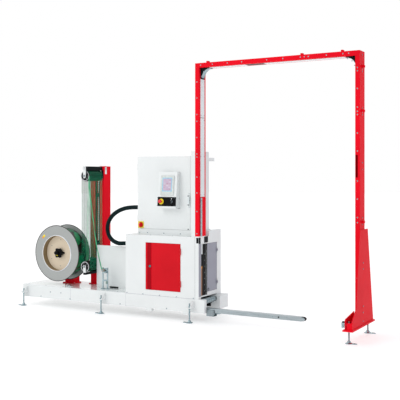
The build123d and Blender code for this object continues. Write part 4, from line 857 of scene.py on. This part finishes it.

# ---- lower door and side door ----------------------------------------------
# The channel's darker red strip is painted shade of a recess down the door; its raised edges are the gloss
# red.
door, door_z = Shape(), (298.5, 788.5)
door.block((-300, -250), (-168.6, -167.4), door_z)
door.blocks(((-301.5, -299.5), (-169.4, -167.4), door_z),
            ((-248.5, -246.5), (-169.4, -167.4), door_z), mat=1)
door.make("lower_door_channel", [RED_DARK, RED], "red_paint", 0.4, body="lower_door")
lock = Shape().lathe((-266.5, 0, 543.5), "Y", [(-168.4, 14), (-171, 13), (-173.2, 10.5), (-173.4, 6),
                                               (-173.4, 0.5)])
lock.block((-267.8, -265.2), (-173.4, -172.4), (538, 549), 1)
lock.make("lower_lock_face", [LOCK, BLACK], "zinc_steel", body="lower_lock")
side = Shape().lathe((0, 36.5, 318), "X", [(near_in, 14), (325, 14), (327, 12), (327, 9), (325.4, 8),
                                           (325.4, 0.5)], 28)
side.block((325.2, 326.2), (35.2, 37.8), (312, 324), 1)
side.make("side_door_lock", [BLACK, ZINC], "black_plastic", 0.3, body="side_door")
seal = Shape()
seal.blocks(((322.6, 324.1), (9.5, 10.5), (292, 796)), ((322.6, 324.1), (216.5, 218), (292, 796)))
seal.make("side_door_seal", BLACK, "black_plastic", 0.4)

# ---- upper door: handle, switch, console controls --------------------------
handle = Shape().prism(capsule(hx, 1191, 1281, 8, 12), "XZ", -61.5, -51.5)
handle.lathe((hx, 0, 1236), "Y", [(-54, 8), (-51, 8), (-38, 6.4), (-30, 6)], 20, 1)
for z in (1190, 1282):
    handle.lathe((hx, 0, z), "Y", [(-63.9, 5.5), (-64.3, 5), (-63, 6)], 20, 2)
handle.make("door_handle_moulded", [COVER, STEEL, DARK], "white_paint", 2.2, body="door_handle",
            segments=3, replaces=["door_handle"])
plate = Shape().prism(capsule(hx, 1172, 1300, 11, 11), "XZ", -40.5, -37.4)
for z in (1167, 1305):
    plate.screw((hx, -40.5, z), "Y", -1, 4, 1)
plate.lathe((124, upper_front, 936), "Y", [(0, 6), (-2, 6), (-2.5, 5)], 20, 2)
plate.block((-205.5, 25.5), (-38.1, -37.4), (1147, 1149.5), 2)
plate.make("handle_plate", [WHITE, ZINC, DARK], "grey_plastic", 0.8, body="upper_door")

plate_front = -41.5
knob = Shape()
knob.prism([(sx + (25.5 + 0.6 * cos(24 * t)) * cos(t), sz + (25.5 + 0.6 * cos(24 * t)) * sin(t))
            for t in turns(144)], "XZ", -49.5, -41.8)
knob.prism([(sx + x, sz + z) for x, z in ((-7, -18), (-5, -24), (5, -24), (7, -18), (7, 18), (4, 24),
                                          (-4, 24), (-7, 18))], "XZ", -71.5, -48)
knob.block((sx - 1.2, sx + 1.2), (-72, -71), (sz + 8, sz + 21), 1)
knob.make("main_switch_moulded", [RED_CAP, COVER], "red_plastic", 1.6, body="main_switch",
          segments=3, replaces=["main_switch_knob"])
marks = Shape()
for dx in (-29, 29):
    for dz in (-29, 29):
        marks.screw((sx + dx, plate_front, sz + dz), "Y", -1, 3)
marks.lathe((sx, 0, sz), "Y", [(plate_front, 27), (plate_front, 30), (-42.3, 29.5), (-42.3, 27.5)],
            48, 1, closed=True)
marks.make("switch_plate_marks", [ZINC, BLACK], "black_plastic", body="upper_door")

lean = atan2(36, 382)                    # the console's face leans back by this much
tilt = Matrix(((1, 0, 0, 0), (0, sin(lean), -cos(lean), 0), (0, cos(lean), sin(lean), 0), (0, 0, 0, 1)))


def on_console(x, along):
    """Local axes on the console's face: X across, Y up the slope, Z out of it."""
    return Matrix.Translation((x, -123.5 + along * sin(lean), 1151 + along * cos(lean))) @ tilt


middle = (0, 0, 0)
collar = Shape(on_console(-156, 72))
collar.lathe(middle, "Z", [(3, 11.2), (3, 29.5), (4.5, 30), (6.5, 29), (8, 25), (8, 11.2)], 48, closed=True)
collar.make("estop_collar_moulded", YELLOW, "yellow_plastic", body="upper_door", replaces=["estop_collar"])
button = Shape(on_console(-156, 72))
button.lathe(middle, "Z", [(-12, 9), (-12, 11), (26, 11), (28, 14), (30, 18.5), (32, 20), (36, 20),
                           (40, 18), (42.5, 14), (43.6, 8), (43.8, 1)], 48)
for t in turns(3):
    button.lathe((11 * cos(t), 11 * sin(t), 0), "Z", [(42.4, 2.5), (43.8, 2)], 12, 1)
button.make("estop_mushroom", [RED_CAP, COVER], "red_plastic", body="estop", replaces=["estop_button"])
selector = Shape(on_console(-32, 72))
selector.lathe(middle, "Z", [(-12, 7), (-12, 7.9), (3.3, 7.9), (3.3, 15), (6, 15), (7.5, 13.5),
                             (10, 12), (10, 1)], 48, 1)
selector.prism([(-4.5, -12), (4.5, -12), (5, 0), (4, 13), (-4, 13), (-5, 0)], "XY", 9, 23)
selector.block((-0.9, 0.9), (3, 12.5), (22.8, 23.6), 2)
selector.make("selector_lever", [BLACK, STEEL, COVER], "black_plastic", 0.8, body="selector",
              replaces=["selector_switch"])
lamp_dot = Shape(on_console(-32, 102))
lamp_dot.lathe(middle, "Z", [(3, 5.5), (4.5, 5.5), (6.5, 4), (7.2, 1)], 24)
for x in (-174, 38):
    for y in (-74, 12):
        lamp_dot.lathe((x, y, 0), "Z", [(3, 3.2), (3.8, 3), (3.8, 1)], 12, 1)
lamp_dot.make("panel_lamp", [COVER, ZINC], "black_plastic", body="upper_door")


def screen_glass():
    """A lit panel: lilac, clouded with pink, glossy and faintly glowing."""
    m = Nodes("screen_lilac")
    cloud = m.noise(18, 2, (1, 1, 3))
    colours = m.colour(cloud, "Fac", 0.35, 0.65, (0.46, 0.38, 0.52), (0.55, 0.44, 0.52))
    m.link(colours, "Color", m.shader, "Emission Color")
    m.rough(cloud, "Fac", 0.08, 0.16)
    m.set(Emission_Strength=0.12)
    return m.mat


GLASS = screen_glass()
CYAN = plastic("screen_cyan", (0.22, 0.60, 0.78), 0.3, spread=0.12)
PINK = plastic("screen_pink", (0.52, 0.36, 0.47), 0.3, spread=0.15)
PALE = plastic("screen_pale", (0.60, 0.53, 0.62), 0.3, spread=0.1)
screen = Shape(on_console(-90, 250))
screen.block((-58.5, 58.5), (-71.5, 71.5), (7.9, 8.6), 1)
screen.block((-51, 51), (-64, 64), (8.5, 8.9), 0)
for row in range(6):
    for col in range(3):
        x, y = -44 + col * 31, -56 + row * 19.5
        if (row * 3 + col) % 4:
            screen.block((x, x + 25), (y, y + 13), (8.8, 9.2), 2 if (row + col) % 3 else 3)
screen.block((-47, 47), (58, 62), (8.8, 9.2), 3)
screen.make("touch_screen", [GLASS, CYAN, PINK, PALE], "grey_plastic", 0.15, body="upper_door")

# ---- strapping head and lance fittings -------------------------------------
head, feed = Shape(), (feed_x, 0, feed_z)
for k in range(7):
    y = -32 + k * 22
    head.tube(feed, "Y", y, y + 12, 27, 30.6, 32, k % 2)
head.lathe(feed, "Y", [(-118, 6), (-121, 9), (-118, 12), (-112, 12)], 20)
for x in (100, 150, 200, 250):
    head.screw((x, -55, 236), "Z", 1, 5, 1)
head.prism([(300, 262), (307, 266), (352, 216), (345, 210)], "XZ", -58, -50, 2)
head.lathe((348, 0, 214), "Y", [(-60, 5), (-62, 8), (-50, 8)], 20, 1)
head.lathe((300, 0, 262), "Y", [(-60, 4), (-62, 6.5), (-50, 6.5)], 20, 1)
for x, z, r in ((41.5, 540, 45), (171.5, 430, 60), (51.5, 330, 40)):
    at = (x, 0, z)                       # the strap feeder's wheels and their motors' fins
    head.lathe(at, "Y", [(-43, r * 0.3), (-44, r * 0.9), (-42, r + 1.5), (-38, r + 1.5), (-37, r)], 40)
    for y in range(55, 144, 11):
        head.tube(at, "Y", y, y + 4, r * 0.7, r * 0.84, 32, 1)
head.make("strapping_head_fittings", [ZINC, STEEL, BLACK], "bare_steel", 0.4)
lance = Shape()
for x in range(-380, 1271, 150):
    lance.lathe((x, lance_front, lance_z), "Y", [(0, 4.5), (-0.6, 4.2), (-0.6, 2.4), (-0.1, 2.2),
                                                 (-0.1, 0.3)], 16)
lance.lathe((1184.8, lance_front, lance_z), "Y", [(0, 8), (-0.7, 8), (-0.7, 6)], 20, 1)
for y, out in ((lance_front, -1), (lance_back, 1)):
    lance.lathe((tip_x, y, lance_z), "Y", [(0, 6.5), (out * 0.8, 6.2), (out * 0.8, 0.4)], 20)
lance.make("lance_fittings", [ZINC, BLACK], "zinc_steel", 0.4, body="lance")
catch = Shape()
catch.blocks(((1902, 1950.5), (-352, -318), (134, 162)), ((1898, 1930), (-346, -322), (162, 178)),
             ((1936, 1950.5), (-366, -300), (128.2, 134)))
catch.blocks(((1906, 1944), (-348, -322), (178, 190)), ((1958, 1959.4), (-262, -236), (136, 176)), mat=1)
catch.lathe((0, -385, 163), "X", [(1932, 6), (1932, 10), (1941, 10), (1941, 5.5), (1992, 5.5), (1994, 4)], 20)
catch.lathe((1916, 0, 148), "Y", [(-362, 5), (-363, 8), (-358, 10), (-352, 10)], 20)
catch.lathe((1990, -330, 128), "Z", [(0, 12), (3, 12), (6, 8), (46, 8), (52, 6)], 20)
catch.make("leg_base_catch", [ZINC, BLACK], "zinc_steel", 1.0)
screws("leg_base_bolts", [(x, y, 128) for x in (1948, 2004) for y in (-380, -210, 30, 215)], "Z", 1, 7)
weld = Shape()
weld.prism([(far_out, 128), (far_out, 132), (2006.5, 128)], "XZ", -400, -168)
weld.prism([(leg_plate, 128), (leg_plate, 132.5), (2023, 128)], "XZ", -398, 205)
weld.make("leg_base_welds", RED, "red_paint")
screws("dock_screws", [(1941, y, 140) for y in (-120, -67)], "Z", 1, 5)

# ---- stage: floor, light ---------------------------------------------------
corners, reach, below = 64, 60, -0.0005  # of the floor, the last two in metres
floor_mesh = bpy.data.meshes.new("floor")
floor_mesh.from_pydata([(reach * cos(t), reach * sin(t), below) for t in turns(corners)], [],
                       [tuple(range(corners))])
floor = bpy.data.objects.new("floor", floor_mesh)
bpy.context.scene.collection.objects.link(floor)
m = Nodes("floor")
m.colour(m.noise(0.8, 2), "Fac", 0.3, 0.7, (0.60, 0.60, 0.60), (0.64, 0.64, 0.64))
m.set(Roughness=0.6, Emission_Color=(1, 1, 1, 1), Emission_Strength=0.47)
floor_mesh.materials.append(m.mat)

world = bpy.data.worlds.new("studio")
bpy.context.scene.world = world
world.use_nodes = True
tree = world.node_tree
aim = tree.nodes.new("ShaderNodeTexCoord")
parts = tree.nodes.new("ShaderNodeSeparateXYZ")
sides = tree.nodes.new("ShaderNodeValToRGB")
lit, dim = (0.02, (1, 1, 1, 1)), (0.42, (0.70, 0.73, 0.78, 1))
for element, stop in zip(sides.color_ramp.elements, (lit, dim)):
    element.position, element.color = stop
tree.links.new(aim.outputs["Generated"], parts.inputs["Vector"])
tree.links.new(parts.outputs["X"], sides.inputs["Fac"])
tree.links.new(sides.outputs["Color"], tree.nodes["Background"].inputs["Color"])
tree.nodes["Background"].inputs["Strength"].default_value = 1.0


def lamp(name, at, aim, size, power):
    light = bpy.data.lights.new(name, "AREA")
    light.shape, light.size, light.energy = "SQUARE", size, power
    carrier = bpy.data.objects.new(name, light)
    carrier.location = at
    carrier.rotation_euler = (Vector(aim) - Vector(at)).to_track_quat("-Z", "Y").to_euler()
    bpy.context.scene.collection.objects.link(carrier)


lamp("key", (-3.5, -6.0, 5.5), (-0.2, 0, 0.9), 4.0, 110)
lamp("fill", (6.5, -3.0, 3.5), (0.8, 0, 1.2), 3.5, 6)
bpy.context.scene.view_settings.view_transform = "Standard"
